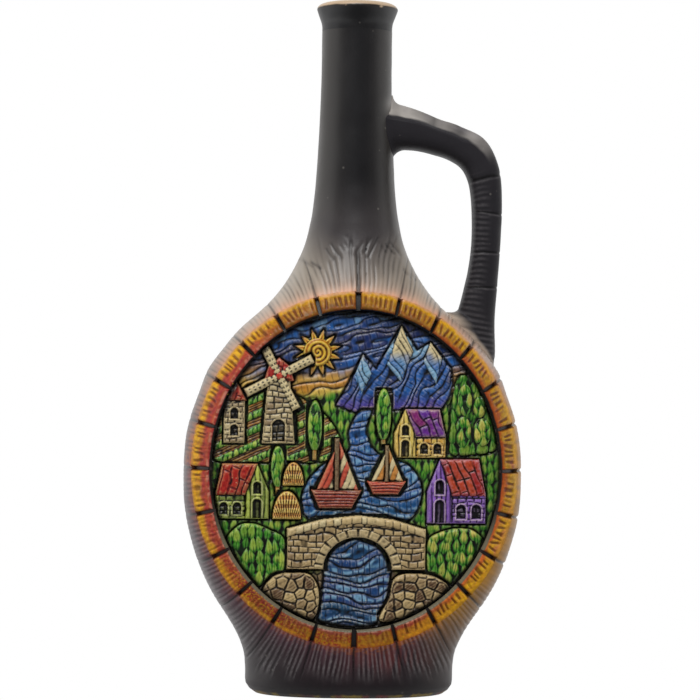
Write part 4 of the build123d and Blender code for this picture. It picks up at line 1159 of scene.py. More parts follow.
def archGap(box, x, z):  # the distance inside a box whose top is a half round
    left, low, right, high = box
    radius = (right - left) / 2
    crown = radius - np.hypot(x - left - radius, z - high + radius)
    return np.maximum(boxGap((left, low, right, high - radius), x, z), crown)


def bricks(x, z, wide, tall, seed, joint=0.7):
    # Rows of uneven stones: 0 in the joints and 1 on the crown, with the stone's own number.
    bed = z / tall + 0.8 * sway(x / 6, z / 5, seed)
    row = np.floor(bed)
    place = x / wide + chance(row, 0, seed)
    place = place + 0.8 * sway(place * 0.9, row, seed + 2)
    column = np.floor(place)
    toSide = np.minimum(place - column, 1 - place + column) * wide
    toBed = np.minimum(bed - row, 1 - bed + row) * tall
    near = np.minimum(toSide, toBed)
    return smooth(0.0, joint, near) * (0.8 + 0.2 * smooth(joint, joint * 1.8, near)), chance(column, row, seed + 1)


def turnedAxes(x, z, direction):  # the places along a direction and across it
    along, up = math.cos(direction), math.sin(direction)
    return x * along + z * up, -x * up + z * along


def slabs(x, z, direction, wide, long, seed):  # rounded boards that run along a direction, with a few cross joints
    return bricks(*turnedAxes(x, z, direction), long, wide, seed, 0.8)


def cellsRound(u, v):  # the whole numbers of the nine cells round each place
    return [(np.floor(u) + i, np.floor(v) + j) for i in (-1, 0, 1) for j in (-1, 0, 1)]


def pebbles(x, z, size, seed):
    # Cells round scattered points: 0 between two cells and 1 well inside one, with the cell's own number.
    u, v = x / size, z / size
    near, second, own = np.full(x.shape, 9.0), np.full(x.shape, 9.0), np.zeros(x.shape)
    for c, r in cellsRound(u, v):
        away = np.hypot(u - c - 0.15 - 0.7 * chance(c, r, seed), v - r - 0.15 - 0.7 * chance(c, r, seed + 1))
        closer = away < near
        second = np.where(closer, near, np.minimum(second, away))
        own, near = np.where(closer, chance(c, r, seed + 2), own), np.where(closer, away, near)
    return smooth(0.0, 0.34, second - near) * (1 - 0.35 * near), own


def leaves(x, z, size, seed, slim=0.5):
    # Flame shaped leaves at scattered points, each with a vein: the one that stands highest shows.
    u, v = x / size / 0.66, z / size
    best, own = np.zeros(x.shape), np.zeros(x.shape)
    for c, r in cellsRound(u, v):
        tilt = 0.7 * (chance(c, r, seed + 3) - 0.5)
        offX, offZ = u - c - 0.25 - 0.5 * chance(c, r, seed), v - r - 0.2 - 0.6 * chance(c, r, seed + 1)
        side, tip = offX * np.cos(tilt) - offZ * np.sin(tilt), offX * np.sin(tilt) + offZ * np.cos(tilt)
        wide = slim * np.clip(1.0 - 1.15 * tip, 0.04, 1.25)
        shape = 1 - (side / wide) ** 2 - (tip / 0.86) ** 2
        height = shape * 0.6 + 0.4 * chance(c, r, seed + 4) - 0.16 * np.exp(-(side / 0.08) ** 2)
        wins = (shape > 0) & (height > best)
        best, own = np.where(wins, height, best), np.where(wins, chance(c, r, seed + 5), own)
    return np.clip(best * 1.25, 0, 1), own


def lines(x, z, direction, pitch, seed, waver=0.5):
    # Long brush or carving lines along a direction, bent by noise: 0 in the cuts and 1 between them.
    forward, across = turnedAxes(x, z, direction)
    phase = across / pitch + waver * sway(forward / 7, across / 3, seed) * 2
    return wave(phase) ** 0.5, chance(np.floor(phase), 0, seed)


def ropes(x, z, direction, pitch, seed, waver):
    # Thick strands with a cut across them here and there.
    height, own = lines(x, z, direction, pitch, seed, waver)
    place = turnedAxes(x, z, direction)[0] / (pitch * 0.9) + own * 7
    place = place + 0.7 * sway(place * 0.8, own * 50, seed + 3)
    cut = np.exp(-((place % 1 - 0.5) * pitch * 0.9 / 0.30) ** 2)
    tone = 0.75 * own + 0.25 * chance(np.floor(place + 0.5), np.floor(own * 999), seed + 1)
    return height * (1 - 0.28 * cut), tone


def twoTone(first, second, share):  # from one colour of the palette to another
    return blend(tints[first], tints[second], share)


def leafy(x, z, size, seed, pair=("deepGreen", "green", "lime")):  # leaves, dark below and bright at their tips
    height, own = leaves(x, z, size, seed)
    tips = smooth(0.6, 1.0, height) * (0.25 + 0.6 * own)
    return height, blend(twoTone(pair[0], pair[1], smooth(0.1, 0.6, height)), tints[pair[2]], tips)


def masonry(x, z, wide, tall, seed, pair=("cream", "stone")):  # uneven stones in two tones
    height, own = bricks(x, z, wide, tall, seed)
    return height, twoTone(*pair, 0.25 + 0.6 * own * own)


def sky(x, z):  # slanted strands, amber low down and blue above
    height, own = ropes(x, z, 0.25, 3.3, 101, 0.8)
    dusk = smooth(0.66, 0.54, z / wellTall + 0.10 * (own - 0.5))
    colour = blend(twoTone("deepBlue", "blue", smooth(0.3, 0.8, own)), tints["sky"], 0.5 * (own > 0.8))
    return 0.85 * height, blend(colour, twoTone("amber", "straw", own), dusk)


def cobbles(x, z):  # rounded stones, a few of them pale
    height, own = pebbles(x, z, 3.6, 121)
    return 0.8 * height, blend(twoTone("stone", "brown", own * 0.6), tints["paleStone"], 0.35 * (own > 0.6)) * 0.7


def groundCover(x, z):
    # What fills the plaque between the motifs: sky above, tufts at the middle, cobbles below.
    share = z / wellTall + 0.05 * sway(x / 5, z / 5, 131)
    upper, lower = smooth(0.44, 0.50, share), smooth(-0.60, -0.66, share)
    (skyHigh, skyTint), (tuftHigh, tuftTint), (stoneHigh, stoneTint) = sky(x, z), leafy(x, z, 4.2, 111), cobbles(x, z)
    height = skyHigh * upper + stoneHigh * lower + 0.8 * tuftHigh * (1 - upper - lower)
    return height, blend(blend(tuftTint, skyTint, upper), stoneTint, lower)


def layer(gap, top, depth, height, tint):  # a motif's layer: its outline, top, carving and colour
    return gap, top, -depth * (1 - height), tint


def makeSun(x, z):
    # A star under a disc: the rays are a cosine of the angle, the spiral one of distance and angle.
    middleX, middleZ = spots((-0.27, 0.73))
    spoke = np.arange(24)
    reach = np.where(spoke % 2, 0.165, 0.095) * wellWide
    bearing = turn * spoke / 24
    corner = np.stack([middleX + reach * np.cos(bearing), middleZ + reach * np.sin(bearing)], axis=-1)
    away = np.hypot(x - middleX, z - middleZ)
    around = np.arctan2(z - middleZ, x - middleX)
    rays = 0.5 + 0.5 * np.cos(around * 24)
    rings = 0.5 - 0.5 * np.cos(away * turn / 1.9 + around)
    return [
        (outlineGap(corner, x, z), lowTop, -0.35 * rays, twoTone("yellow", "amber", rays)),
        layer(0.095 * wellWide - away, middleTop, 0.4, rings, twoTone("amber", "yellow", rings)),
    ], []


def makeMountains(x, z):
    # A range with steep strands, pale where it is high, and three lit faces on it.
    outer = spots([(-0.14, 0.40), (-0.06, 0.53), (0.04, 0.72), (0.13, 0.63), (0.30, 0.90), (0.41, 0.75),
                   (0.50, 0.80), (0.64, 0.64), (0.66, 0.50), (0.58, 0.38), (0.30, 0.38), (0.05, 0.34)])
    faces = [
        [(0.04, 0.72), (0.10, 0.60), (0.03, 0.47), (-0.02, 0.58)],
        [(0.30, 0.90), (0.38, 0.74), (0.30, 0.55), (0.20, 0.66)],
        [(0.50, 0.80), (0.58, 0.70), (0.54, 0.54), (0.45, 0.68)],
    ]
    height, own = ropes(x, z, 1.05, 3.0, 141, 0.8)
    cap = smooth(0.66, 0.76, z / wellTall + 0.06 * sway(x / 3, z / 3, 143))
    ground = blend(twoTone("deepBlue", "blue", own), tints["violet"], 0.6 * smooth(0.5, 0.38, z / wellTall))
    layers = [layer(outlineGap(outer, x, z), lowTop, 0.7, height, blend(ground, tints["sky"], cap * 0.8))]
    steep, number = ropes(x, z, -1.1, 2.4, 145, 0.6)
    lit = blend(twoTone("blue", "sky", number), tints["cream"], cap)
    for corners in faces:
        layers.append(layer(outlineGap(spots(corners), x, z), middleTop, 0.6, steep, lit))
    return layers, []


def makeVineyard(x, z):
    # A hill with slanted rows of leaves: a row is where the distance across it is small.
    hill = blobGap([(-0.97, 0.06), (-0.95, 0.26), (-0.85, 0.43), (-0.70, 0.50), (-0.50, 0.49), (-0.30, 0.40),
                    (-0.16, 0.28), (-0.10, 0.12), (-0.24, 0.05), (-0.60, 0.04)], x, z)
    tilt, wide, pitch = math.radians(24), 0.045 * wellTall, 0.085 * wellTall
    across = turnedAxes(x, z, tilt)[1]
    soil, own = lines(x, z, tilt, 1.1, 151, 0.3)
    layers = [layer(hill, lowTop, 0.3, soil, twoTone("brown", "amber", own * 0.7))]
    height, colour = leafy(x, z, 3.0, 153)
    for index in range(7):
        row = wide / 2 - np.abs(across - pitch * (index - 1) - 5 * wide)
        layers.append(layer(np.minimum(hill, row), middleTop, 0.55, height, colour))
    return layers, []


def makeGrove(x, z):
    # A ground of large leaves with four rounder crowns.
    ground = blobGap([(0.65, 0.42), (0.64, 0.28), (0.64, 0.11), (0.80, 0.10), (0.96, 0.14), (0.95, 0.30),
                      (0.87, 0.47), (0.77, 0.59), (0.69, 0.58)], x, z)
    height, colour = leafy(x, z, 6.5, 161)
    layers = [layer(ground, lowTop, 0.9, height, colour * 0.8)]
    height, colour = leafy(x, z, 4.6, 163, pair=("deepGreen", "green", "straw"))
    for left, up, wide, tall in [(0.73, 0.24, 0.055, 0.10), (0.86, 0.24, 0.060, 0.09), (0.74, 0.44, 0.050, 0.10),
                                 (0.84, 0.40, 0.045, 0.07)]:
        gap = ovalGap(*spots((left, up)), *spots((wide, tall)), x, z)
        layers.append(layer(gap, middleTop, 0.7, height, colour))
    return layers, []


def makeLake(x, z):
    # Level strands of water bent by a sine, lit on some of their crests.
    shore = blobGap([(0.02, 0.36), (0.10, 0.37), (0.07, 0.24), (0.15, 0.10), (0.36, 0.03), (0.45, -0.10),
                     (0.42, -0.26), (0.30, -0.38), (0.25, -0.62), (0.22, -0.80), (0.12, -0.98), (-0.22, -0.97),
                     (-0.22, -0.80), (-0.21, -0.62), (-0.27, -0.38), (-0.36, -0.25), (-0.34, -0.10), (-0.22, 0.03),
                     (-0.05, 0.11), (-0.05, 0.24)], x, z)
    bend = 2.2 * np.sin(x / 6.5 + z / 9)
    height, own = ropes(x, z + bend, 0.05, 3.2, 171, 0.6)
    deep = smooth(0.2, -0.7, z / wellTall)
    ground = blend(twoTone("blue", "deepBlue", 0.3 + deep * 0.5), tints["teal"], 0.3 * own)
    crest = smooth(0.75, 1.0, height) * smooth(0.35, 0.6, cloud(x / 3, z / 2, 173))
    return [layer(shore, lowTop, 0.75, height, blend(ground, tints["sky"], crest * 0.7))], []


def makeWindmill(x, z):
    # A tapered tower under a cap, and two crossed bars of slats turned round the hub.
    tower = outlineGap(spots([(-0.64, 0.16), (-0.42, 0.16), (-0.455, 0.55), (-0.605, 0.55)]), x, z)
    cap = outlineGap(spots([(-0.63, 0.55), (-0.43, 0.55), (-0.46, 0.64), (-0.53, 0.69), (-0.60, 0.64)]), x, z)
    height, colour = masonry(x, z, 3.4, 2.3, 181)
    slate, own = slabs(x, z, 1.4, 2.4, 7.0, 183)
    layers = [layer(tower, highTop, 0.6, height, colour),
              layer(cap, topTop - 0.4, 0.5, slate, twoTone("crimson", "scarlet", own * 0.6))]
    hubX, hubZ = spots((-0.53, 0.58))
    for sailTurn in (28, 118):
        run, side = turnedAxes(x - hubX, z - hubZ, math.radians(sailTurn))
        gap = np.minimum(0.25 * wellWide - np.abs(run), 0.025 * wellWide - np.abs(side))
        slats = smooth(0.1, 0.35, np.abs((run / 2.1) % 1 - 0.5))
        layers.append((gap + 0.15, topTop, -0.4 * (1 - slats) * (np.abs(side) > 0.35), tints["cream"]))
    layers.append((1.8 - np.hypot(x - hubX, z - hubZ), topTop + 0.25, 0, tints["scarlet"]))
    return layers, [archGap(boxSpots((-0.575, 0.17, -0.485, 0.31)), x, z)]


def makeDovecote(x, z):
    # A box under a pointed roof, with two arched holes.
    box = boxSpots((-0.90, 0.16, -0.76, 0.56))
    left, low, right, high = box
    eave = low + (high - low) * 0.66
    over = (right - left) * 0.07
    height, colour = masonry(x, z, 3.0, 2.1, 191)
    tile, own = slabs(x, z, 1.3, 2.2, 6.0, 193)
    roof = outlineGap([(left - over, eave), (right + over, eave), ((left + right) / 2, high)], x, z)
    return [
        layer(boxGap((left, low, right, eave), x, z), highTop, 0.6, height, colour),
        layer(roof, topTop, 0.5, tile, twoTone("crimson", "orange", own * 0.4)),
    ], [archGap(partOf(box, share), x, z) for share in [(0.30, 0.11, 0.70, 0.29), (0.30, 0.37, 0.70, 0.55)]]


def cottage(x, z, boxShares, gableSide, gableShare, walls, roofs, seed):
    # A gable end beside a long wall under one roof, with arched openings in both.
    left, low, right, high = boxSpots(boxShares)
    near, far = (right, left) if gableSide > 0 else (left, right)
    corner = near + (far - near) * gableShare
    peak, eave = (near + corner) / 2, low + (high - low) * 0.5
    drop = (high - low) * 0.07
    end = far + (corner - far) * (peak - corner) / (near - far)
    gable = outlineGap([(near, low), (corner, low), (corner, eave), (peak, high), (near, eave)], x, z)
    wallBox = (min(corner, far), low, max(corner, far), eave)
    gableBox = (min(corner, near), low, max(corner, near), high)
    roof = outlineGap([(corner, eave - drop), (far, eave - drop), (end, high), (peak, high)], x, z)
    stone, stoneTint = masonry(x, z, 3.4, 2.2, seed, walls)
    plank, own = lines(x, z, math.pi / 2, 2.0, seed + 1, 0.25)
    slope = math.atan2(high - eave + drop, peak - corner)
    tile, tileOwn = slabs(x, z, slope, 3.4, 9.0, seed + 2)
    holes = [(wallBox, (0.13, 0.14, 0.42, 0.60)), (wallBox, (0.58, 0.14, 0.87, 0.60)),
             (gableBox, (0.30, 0.00, 0.70, 0.37)), (gableBox, (0.32, 0.45, 0.68, 0.68))]
    return [
        layer(boxGap(wallBox, x, z), middleTop, 0.55, stone, stoneTint),
        layer(gable, middleTop + 0.25, 0.5, plank, twoTone(walls[0], walls[1], own * 0.8)),
        layer(roof, highTop, 0.55, tile, twoTone(*roofs, tileOwn * 0.5)),
    ], [archGap(partOf(box, share), x, z) for box, share in holes]


def boat(x, z, boxShares, hullTint, sailTints, seed):
    # A hull, a mast and two sails in panels.
    left, low, right, high = boxSpots(boxShares)
    wide, tall = right - left, high - low
    deck, middle, mast = low + tall * 0.26, (left + right) / 2, wide * 0.035
    hull = outlineGap([(left, deck), (left + wide * 0.16, low), (left + wide * 0.80, low), (right, deck)], x, z)
    pole = boxGap((middle - mast, deck, middle + mast, high), x, z)
    main = outlineGap([(middle + mast, deck), (left + wide * 0.94, deck), (middle + mast, high)], x, z)
    fore = outlineGap([(middle - mast, deck), (left + wide * 0.10, deck), (middle - mast, low + tall * 0.86)], x, z)
    plank, own = lines(x, z, 0.0, 1.3, seed, 0.2)
    panel, number = lines(x, z, 1.15, 2.4, seed + 1, 0.2)
    cloth = twoTone(*sailTints, (number > 0.5) * 0.9)
    return [
        layer(main, middleTop, 0.3, panel, cloth),
        layer(fore, middleTop - 0.15, 0.3, panel, cloth),
        layer(hull, highTop, 0.4, plank, twoTone(hullTint, "brown", own * 0.5)),
        (pole + 0.2, highTop, 0, tints["brown"]),
    ], []


def haystack(x, z, foot, size, seed):
    # Half an oval with a fan of straw, whose strands go by the angle round a point below it, tied by level bands.
    (middleX, low), (wide, tall) = spots([foot, size])
    dome = np.minimum(ovalGap(middleX, low, wide, tall, x, z), z - low)
    fan = np.arctan2(x - middleX, z - low + 8) * 13
    straw = wave(fan + 0.6 * cloud(x / 2, z / 3, seed))
    band = smooth(0.25, 0.7, np.abs(((z - low) / 3.6) % 1 - 0.5) * 2)
    bump = -0.4 * (1 - straw) - 0.35 * (1 - band)
    return [(dome, highTop, bump, twoTone("amber", "straw", straw * band))], []


def poplar(x, z, boxShares, seed):
    # An oval crown of leaves on a stem.
    left, low, right, high = boxSpots(boxShares)
    trunk = partOf((left, low, right, high), (0.36, 0.00, 0.64, 0.16))
    crown = ovalGap((left + right) / 2, (trunk[3] + high) / 2, (right - left) / 2, (high - trunk[3]) / 2, x, z)
    height, colour = leafy(x, z, 4.0, seed)
    bark, own = lines(x, z, math.pi / 2, 0.8, seed + 2, 0.3)
    stem = boxGap((trunk[0], trunk[1], trunk[2], (low + high) / 2), x, z)
    return [layer(stem + 0.1, middleTop, 0.2, bark, twoTone("brown", "amber", own)),
            layer(crown, highTop, 0.6, height, colour)], []


def makeBridge(x, z):
    # A wall less an oval arch, with wedge stones by the angle round the arch and a rail on top.
    outer = [(-0.46, -0.62), (-0.46, -0.37), (-0.22, -0.31), (0.02, -0.285), (0.26, -0.31), (0.48, -0.37),
             (0.48, -0.62)]
    archX, archZ = spots((0.02, -0.62))
    archWide, archTall = spots((0.235, 0.20))
    arch = ovalGap(archX, archZ, archWide, archTall, x, z)
    walls = np.minimum(outlineGap(spots(outer), x, z), -arch)
    top = outer[1:-1]
    rail = outlineGap(spots(top + [(across, up - 0.05) for across, up in top[::-1]]), x, z)
    height, colour = masonry(x, z, 4.0, 2.7, 201, ("paleStone", "stone"))
    around = np.arctan2((z - archZ) / archTall, (x - archX) / archWide)
    wedge = smooth(0.03, 0.2, np.abs((around / math.pi * 11) % 1 - 0.5)) * smooth(-3.8, -3.0, arch)
    collar = smooth(-3.9, -3.3, arch)
    height = np.where(collar > 0.5, wedge, height)
    rails, own = bricks(x, z, 3.4, 40.0, 203)
    return [layer(walls, highTop, 0.65, height, blend(colour, tints["cream"], collar * 0.4)),
            layer(rail, topTop, 0.4, rails, twoTone("cream", "paleStone", own))], []


def boulders(x, z, corners, seed):
    # Rounded stones inside a smooth outline.
    height, own = pebbles(x, z, 4.2, seed)
    chip, _ = lines(x, z, 0.6, 1.3, seed + 5, 0.8)
    colour = blend(twoTone("stone", "paleStone", own), tints["brown"], 0.6 * (own < 0.3))
    return [(blobGap(corners, x, z), highTop, -0.8 * (1 - height) - 0.12 * (1 - chip), colour)], []


def bush(x, z, corners, seed, pair=("deepGreen", "green", "lime")):
    # Leaves inside a smooth outline.
    height, colour = leafy(x, z, 4.8, seed, pair=pair)
    return [layer(blobGap(corners, x, z), middleTop, 0.9, height, colour)], []


motifs = {  # from the nearest to the farthest: the slot of its paint, what draws it and that function's measures
    "bridge": ("paint_stone", makeBridge),
    "boulders_left": ("paint_stone", boulders, [
        (-0.62, -0.76), (-0.55, -0.67), (-0.44, -0.645), (-0.30, -0.66), (-0.24, -0.78), (-0.28, -0.93),
        (-0.42, -0.89), (-0.54, -0.83)], 211),
    "bush_left": ("paint_green", bush, [
        (-0.87, -0.46), (-0.80, -0.36), (-0.70, -0.34), (-0.58, -0.38), (-0.48, -0.44), (-0.48, -0.62),
        (-0.57, -0.67), (-0.66, -0.73), (-0.76, -0.62)], 221),
    "boulders_right": ("paint_stone", boulders, [
        (0.18, -0.94), (0.24, -0.80), (0.28, -0.67), (0.42, -0.645), (0.56, -0.67), (0.65, -0.74), (0.56, -0.82),
        (0.40, -0.91)], 231),
    "bush_right": ("paint_green", bush, [
        (0.50, -0.62), (0.50, -0.44), (0.60, -0.38), (0.72, -0.36), (0.82, -0.38), (0.88, -0.46), (0.79, -0.60),
        (0.68, -0.71), (0.58, -0.67)], 241, ("deepGreen", "green", "straw")),
    "haystack_near": ("paint_yellow", haystack, (-0.465, -0.31), (0.095, 0.17), 251),
    "boat_near": ("paint_red", boat, (-0.30, -0.24, 0.04, 0.19), "crimson", ("cream", "scarlet"), 261),
    "boat_far": ("paint_red", boat, (0.08, -0.15, 0.34, 0.15), "scarlet", ("cream", "amber"), 271),
    "haystack_far": ("paint_yellow", haystack, (-0.425, -0.10), (0.070, 0.14), 281),
    "poplar_hay": ("paint_green", poplar, (-0.575, -0.16, -0.485, 0.14), 291),
    "cottage_left": ("paint_green", cottage, (-0.95, -0.31, -0.59, 0.03), 1, 0.44, ("lime", "deepGreen"),
                     ("crimson", "scarlet"), 301),
    "cottage_right": ("paint_violet", cottage, (0.49, -0.33, 0.89, 0.07), -1, 0.42, ("lilac", "violet"),
                      ("crimson", "orange"), 311),
    "cottage_upper": ("paint_yellow", cottage, (0.26, 0.08, 0.61, 0.38), -1, 0.42, ("straw", "amber"),
                      ("violet", "crimson"), 321),
    "poplar_shore": ("paint_green", poplar, (0.135, 0.13, 0.235, 0.50), 331),
    "poplar_vineyard": ("paint_green", poplar, (-0.33, 0.06, -0.235, 0.42), 341),
    "windmill": ("paint_cream", makeWindmill), "dovecote": ("paint_cream", makeDovecote),
    "vineyard": ("paint_green", makeVineyard), "grove": ("paint_green", makeGrove), "lake": ("paint_blue", makeLake),
    "mountains": ("paint_blue", makeMountains), "sun": ("paint_yellow", makeSun),
}


def windowOf(node):  # the lattice rows and columns over a node, with a little room
    low, high = nodeBox(node)
    columns = np.searchsorted(latticeX, [low[0] - 0.9, high[0] + 0.9])
    rows = np.searchsorted(latticeZ, [low[2] - wellZ - 0.9, high[2] - wellZ + 0.9])
    return slice(*rows), slice(*columns)


def carveMotif(place, draw, *measures):
    # Each layer's height falls off round its edge. The highest layer shows, pockets are cut in and the
    # piece ends a hair before whatever stands in front of it.
    x, z = np.meshgrid(latticeX[place[1]], latticeZ[place[0]])
    layers, pockets = draw(x, z, *measures)
    rim = ovalGap(0, 0, wellWide, wellTall, x, z) - relief["edgeMargin"]
    crevice = relief["crevice"] * (0.45 + 1.1 * cloud(x / 6, z / 6, 401))
    allowed = np.minimum(rim, -coveredMap[place] - crevice)
    chisel = 0.30 * sway(x / 1.2, z / 1.2, 403) + 0.35 * sway(x / 3.5, z / 3.5, 405)
    height, colour, footprint = np.full(x.shape, -9.0), np.zeros((*x.shape, 3)), np.full(x.shape, -99.0)
    for gap, top, bump, tint in layers:
        edge = np.minimum(gap, allowed)
        own = top - edgeFall(edge, relief["rounding"]) - relief["wallSlope"] * np.maximum(-edge, 0)
        own = own + (bump + chisel) * smooth(0, 0.4, edge)
        wins = own > height
        height, colour = np.where(wins, own, height), np.where(wins[..., None], tint, colour)
        footprint = np.maximum(footprint, gap)
    for gap in pockets:
        sunk, frameBand = smooth(0.0, 0.4, gap), smooth(-relief["frameWidth"], -0.4, gap) * smooth(0.05, -0.15, gap)
        height = height - relief["pocketDepth"] * sunk + 0.25 * frameBand
        colour = blend(blend(colour, tints["cream"], 0.4 * frameBand), tints["black"], sunk * 0.9)
    coveredMap[place] = np.maximum(coveredMap[place], footprint)
    return np.maximum(height, -relief["skirt"]), colour, smooth(1.1, 0.1, allowed)


def soften(field, reach):
    # Two passes of a running mean along each axis.
    half = max(1, int(round(reach / relief["step"] / 2)))
    for _ in range(2):
        for axis in (0, 1):
            padded = np.pad(field, [(half + 1, half) if one == axis else (0, 0) for one in (0, 1)], mode="edge")
            total = np.cumsum(padded, axis=axis)
            size = field.shape[axis]
            field = (np.take(total, range(2 * half + 1, 2 * half + 1 + size), axis=axis)
                     - np.take(total, range(0, size), axis=axis)) / (2 * half + 1)
    return field


def makeRelief():
    # Black settles where the surface lies under its own running mean, and beside whatever stands in front.
    everyX, everyZ = np.meshgrid(latticeX, latticeZ)
    groundMap, groundTint = groundCover(everyX, everyZ)
    carved = {}
    for name, (slot, *drawing) in motifs.items():
        place = windowOf("relief_" + name)
        carved[name] = (place, *carveMotif(place, *drawing), slot)
    rim = ovalGap(0, 0, wellWide, wellTall, everyX, everyZ)
    groundMap = groundMap - 0.9 * smooth(-1.0, -0.3, coveredMap)
    topMap = groundMap.copy()
    for place, height, _, _, _ in carved.values():
        topMap[place] = np.maximum(topMap[place], height)
    fine, wide = soften(topMap, relief["fineBlur"]), soften(topMap, relief["wideBlur"])
    hollowMap = np.clip(np.maximum((fine - topMap + 0.015) / 0.11, (wide - topMap + 0.06) / 0.36), 0, 1)
    ridgeMap = np.clip((topMap - fine - 0.015) / 0.13, 0, 1)
    shadeMap = smooth(4.0, 1.3, rim + 1.4 * sway(everyX / 5, everyZ / 5, 407))
    for name, (place, height, colour, beside, slot) in carved.items():
        x, z = np.meshgrid(latticeX[place[1]], latticeZ[place[0]])
        far = np.hypot(x / (wellWide - 0.35), z / (wellTall - 0.35))
        pull = np.where(far > 1, (1 + 0.02 * (far - 1)) / far, 1)
        points = np.stack([x * pull, groundY - height, z * pull + wellZ], axis=-1)
        hollow = np.maximum(hollowMap[place], np.clip((topMap[place] - height) / 0.3, 0, 1))
        hollow = np.maximum(np.maximum(hollow, shadeMap[place]), 0.9 * beside)
        addPiece("motif_" + name, points, "sheet", paints[slot], slot, "relief_" + name, sharpAngle=75, paint=colour,
                 hollow=hollow, ridge=ridgeMap[place])
    beside = smooth(-1.7, -0.6, coveredMap)
    return groundMap, groundTint, np.maximum(np.maximum(hollowMap, shadeMap), 0.85 * beside), ridgeMap


def sample(field, x, z):
    # Bilinear reading of a lattice field at any place.
    column = np.clip((x - latticeX[0]) / relief["step"], 0, len(latticeX) - 1.001)
    row = np.clip((z - latticeZ[0]) / relief["step"], 0, len(latticeZ) - 1.001)
    i, j = row.astype(int), column.astype(int)
    u, v = row - i, column - j
    if field.ndim == 3:
        u, v = u[..., None], v[..., None]
    return (field[i, j] * (1 - u) * (1 - v) + field[i + 1, j] * u * (1 - v)
            + field[i, j + 1] * (1 - u) * v + field[i + 1, j + 1] * u * v)


def makePlaque(groundMap, groundTint, hollowMap, ridgeMap):
    # A square grid bent to the oval: the corners are drawn in by the other coordinate's square.
    line = np.linspace(-1, 1, relief["plaqueColumns"])
    u, v = np.meshgrid(line, line)
    wide, tall = plaqueHigh[0], (plaqueHigh[2] - plaqueLow[2]) / 2
    x, z = u * np.sqrt(1 - v ** 2 / 2) * wide, v * np.sqrt(1 - u ** 2 / 2) * tall
    edge = ovalGap(0, 0, wide, tall, x, z)
    height = sample(groundMap, x, z) * smooth(0.0, 0.8, edge) - edgeFall(edge, 0.5)
    points = np.stack([x, groundY - height, z + wellZ], axis=-1)
    full = skirted(points, np.stack([x, np.full(x.shape, plaqueBackY), z + wellZ], axis=-1))
    layers = {"paint": groundTint, "hollow": hollowMap, "ridge": ridgeMap}
    addPiece("plaque", full, "sheet", paints["plaque_paint"], "plaque_paint", "medallion_plaque",
             **{name: skirted(sample(field, x, z)) for name, field in layers.items()})


enamel = {"roughLow": 0.32, "roughHigh": 0.48, "coat": 0.2, "wash": 1.0, "washColour": (8, 7, 7), "rub": 0.47,
          "rubColour": (235, 212, 160), "rubScale": 1100.0, "patchAmount": 0.22, "patchScale": 150.0,
          "speckAmount": 0.35, "speckScale": 600.0, "speckColour": (235, 225, 180), "bump": 0.3}
paintChanges = {  # what the paint of a slot has otherwise than the enamel
    "plaque_paint": {"rub": 0.35}, "paint_yellow": {"rubColour": (250, 238, 170)}, "paint_blue": {"rub": 0.45},
    "paint_green": {"rubColour": (215, 225, 150)}, "paint_cream": {"rub": 0.4}, "paint_stone": {"rub": 0.6},
    "paint_red": {"rub": 0.4}, "paint_violet": {"rubColour": (225, 205, 225)},
}
paints = {slot: firedClay(slot.replace("_", " ").title().replace(" ", ""), **{**enamel, **changes})
          for slot, changes in paintChanges.items()}
makePlaque(*makeRelief())
print("relief")


# Stage: a white sweep that glows for the camera, a soft lamp above the front, two weak fills and the photo's camera

stage = {
    "sweepWide": 6000.0, "sweepFront": -3500.0, "sweepBack": 1800.0, "sweepTall": 3600.0, "sweepBend": 900.0,
    "ambient": 0.34, "mirror": 0.08, "floorMirror": 0.17, "bounce": 0.55, "lampTarget": (0, 0, 150),
    "lamps": {  # place, size and power
        "keyLamp": ((-150, -620, 1050), 0.6, 7.4), "leftFill": ((-1000, 0, 300), 1.1, 2.6),
        "rightFill": ((1000, 60, 300), 1.1, 2.1),
    },
}
view = {"azimuth": -4.0, "height": 146.4, "distance": 1050.0, "lens": 125.6, "aside": -1.25, "roll": 0.775}


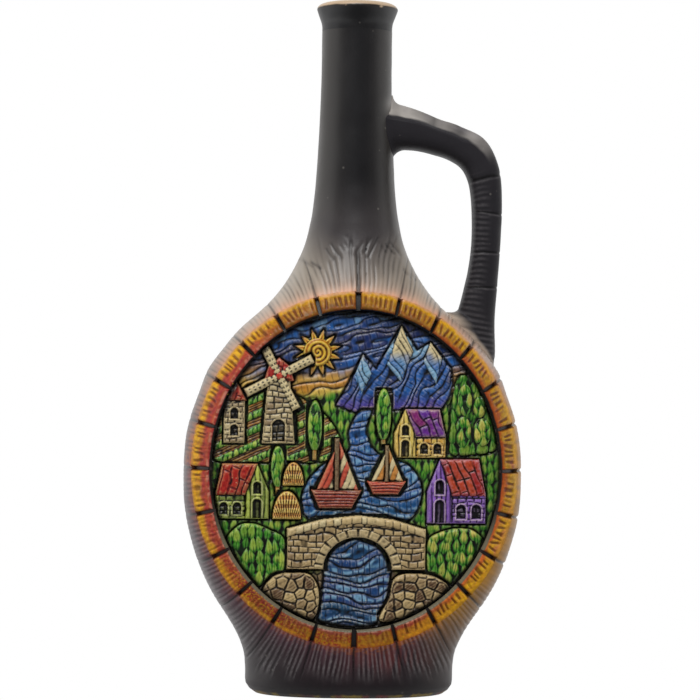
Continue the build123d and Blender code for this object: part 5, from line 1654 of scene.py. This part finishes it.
def makeSweep():
    # A floor that bends up into a back wall: the bend is a quarter circle.
    bend, radius, back = np.linspace(0, math.pi / 2, 25), stage["sweepBend"], stage["sweepBack"]
    y = np.concatenate([[stage["sweepFront"]], back - radius * (1 - np.sin(bend)), [back]])
    z = np.concatenate([[0], radius * (1 - np.cos(bend)), [stage["sweepTall"]]])
    half = stage["sweepWide"] / 2
    points = np.stack([np.stack([np.full(len(y), side * half), y, z], axis=-1) for side in (-1, 1)], axis=1)
    material = bpy.data.materials.new("sweepPaper")
    material.use_nodes = True
    tree = material.node_tree
    tree.nodes.clear()
    rays = wire(tree, "LightPath")
    place = wire(tree, "SeparateXYZ", Vector=wire(tree, "TexCoord").outputs["Object"])
    aside = wire(tree, "Math", {"operation": "MULTIPLY_ADD"},
                 i0=reckon(tree, "ABSOLUTE", place.outputs["X"]), i1=0.5, i2=-0.2).outputs[0]
    behind = spread(tree, reckon(tree, "MAXIMUM", place.outputs["Y"], aside), -0.05, 0.10, stage["floorMirror"], 1.0)
    mirrored = reckon(tree, "MAXIMUM", behind, rays.outputs["Is Camera Ray"])
    seen = reckon(tree, "MAXIMUM", rays.outputs["Is Camera Ray"], rays.outputs["Is Glossy Ray"])
    glow = wire(tree, "Emission", Color=(1, 1, 1, 1), Strength=mirrored)
    paper = wire(tree, "BsdfDiffuse", Color=(stage["bounce"],) * 3 + (1,))
    both = wire(tree, "MixShader", i0=seen, i1=paper.outputs[0], i2=glow.outputs[0])
    out = tree.nodes.new("ShaderNodeOutputMaterial")
    tree.links.new(both.outputs[0], out.inputs["Surface"])
    faces = facesOf(points, "open")[0].tolist()
    linked("sweep", newMesh("sweep", points.reshape(-1, 3), faces, material))


def aim(thing, place, target, roll=0.0):
    # Looks from place to target. The up side leans left by the roll, so that the picture turns clockwise.
    place, target = np.array(place, float), np.array(target, float)
    back = (place - target) / np.linalg.norm(place - target)
    right = np.cross([0, 0, 1], back)
    right = right / np.linalg.norm(right)
    up = np.cross(back, right)
    lean = math.radians(roll)
    newUp = up * math.cos(lean) - right * math.sin(lean)
    newRight = np.cross(newUp, back)
    matrix = np.eye(4)
    matrix[:3] = np.stack([newRight, newUp, back, place * mm], axis=-1)
    thing.matrix_world = Matrix(matrix.tolist())


def makeStage():
    makeSweep()
    world = bpy.data.worlds.new("softSky")
    world.use_nodes = True
    tree = world.node_tree
    rays = wire(tree, "LightPath")
    mirrored = spread(tree, rays.outputs["Is Glossy Ray"], 0, 1, stage["ambient"], stage["mirror"])
    seen = spread(tree, rays.outputs["Is Camera Ray"], 0, 1, mirrored, 1.0)
    tree.links.new(seen, tree.nodes["Background"].inputs["Strength"])
    tree.nodes["Background"].inputs["Color"].default_value = (1, 1, 1, 1)
    bpy.context.scene.world = world
    for name, (place, size, power) in stage["lamps"].items():
        lamp = bpy.data.lights.new(name, "AREA")
        lamp.shape, lamp.size, lamp.energy = "DISK", size, power
        aim(linked(name, lamp), place, stage["lampTarget"])
    azimuth = math.radians(view["azimuth"])
    right = np.array([math.cos(azimuth), math.sin(azimuth), 0])
    back = np.array([math.sin(azimuth), -math.cos(azimuth), 0])
    target = right * view["aside"] + np.array([0, 0, view["height"]])
    camera = bpy.data.cameras.new("camera")
    camera.lens, camera.sensor_width, camera.clip_end = view["lens"], 36.0, 20.0
    thing = linked("camera", camera)
    aim(thing, target + back * view["distance"], target, view["roll"])
    bpy.context.scene.camera = thing
    bpy.context.scene.view_settings.view_transform = "Standard"


makeStage()
print("stage")
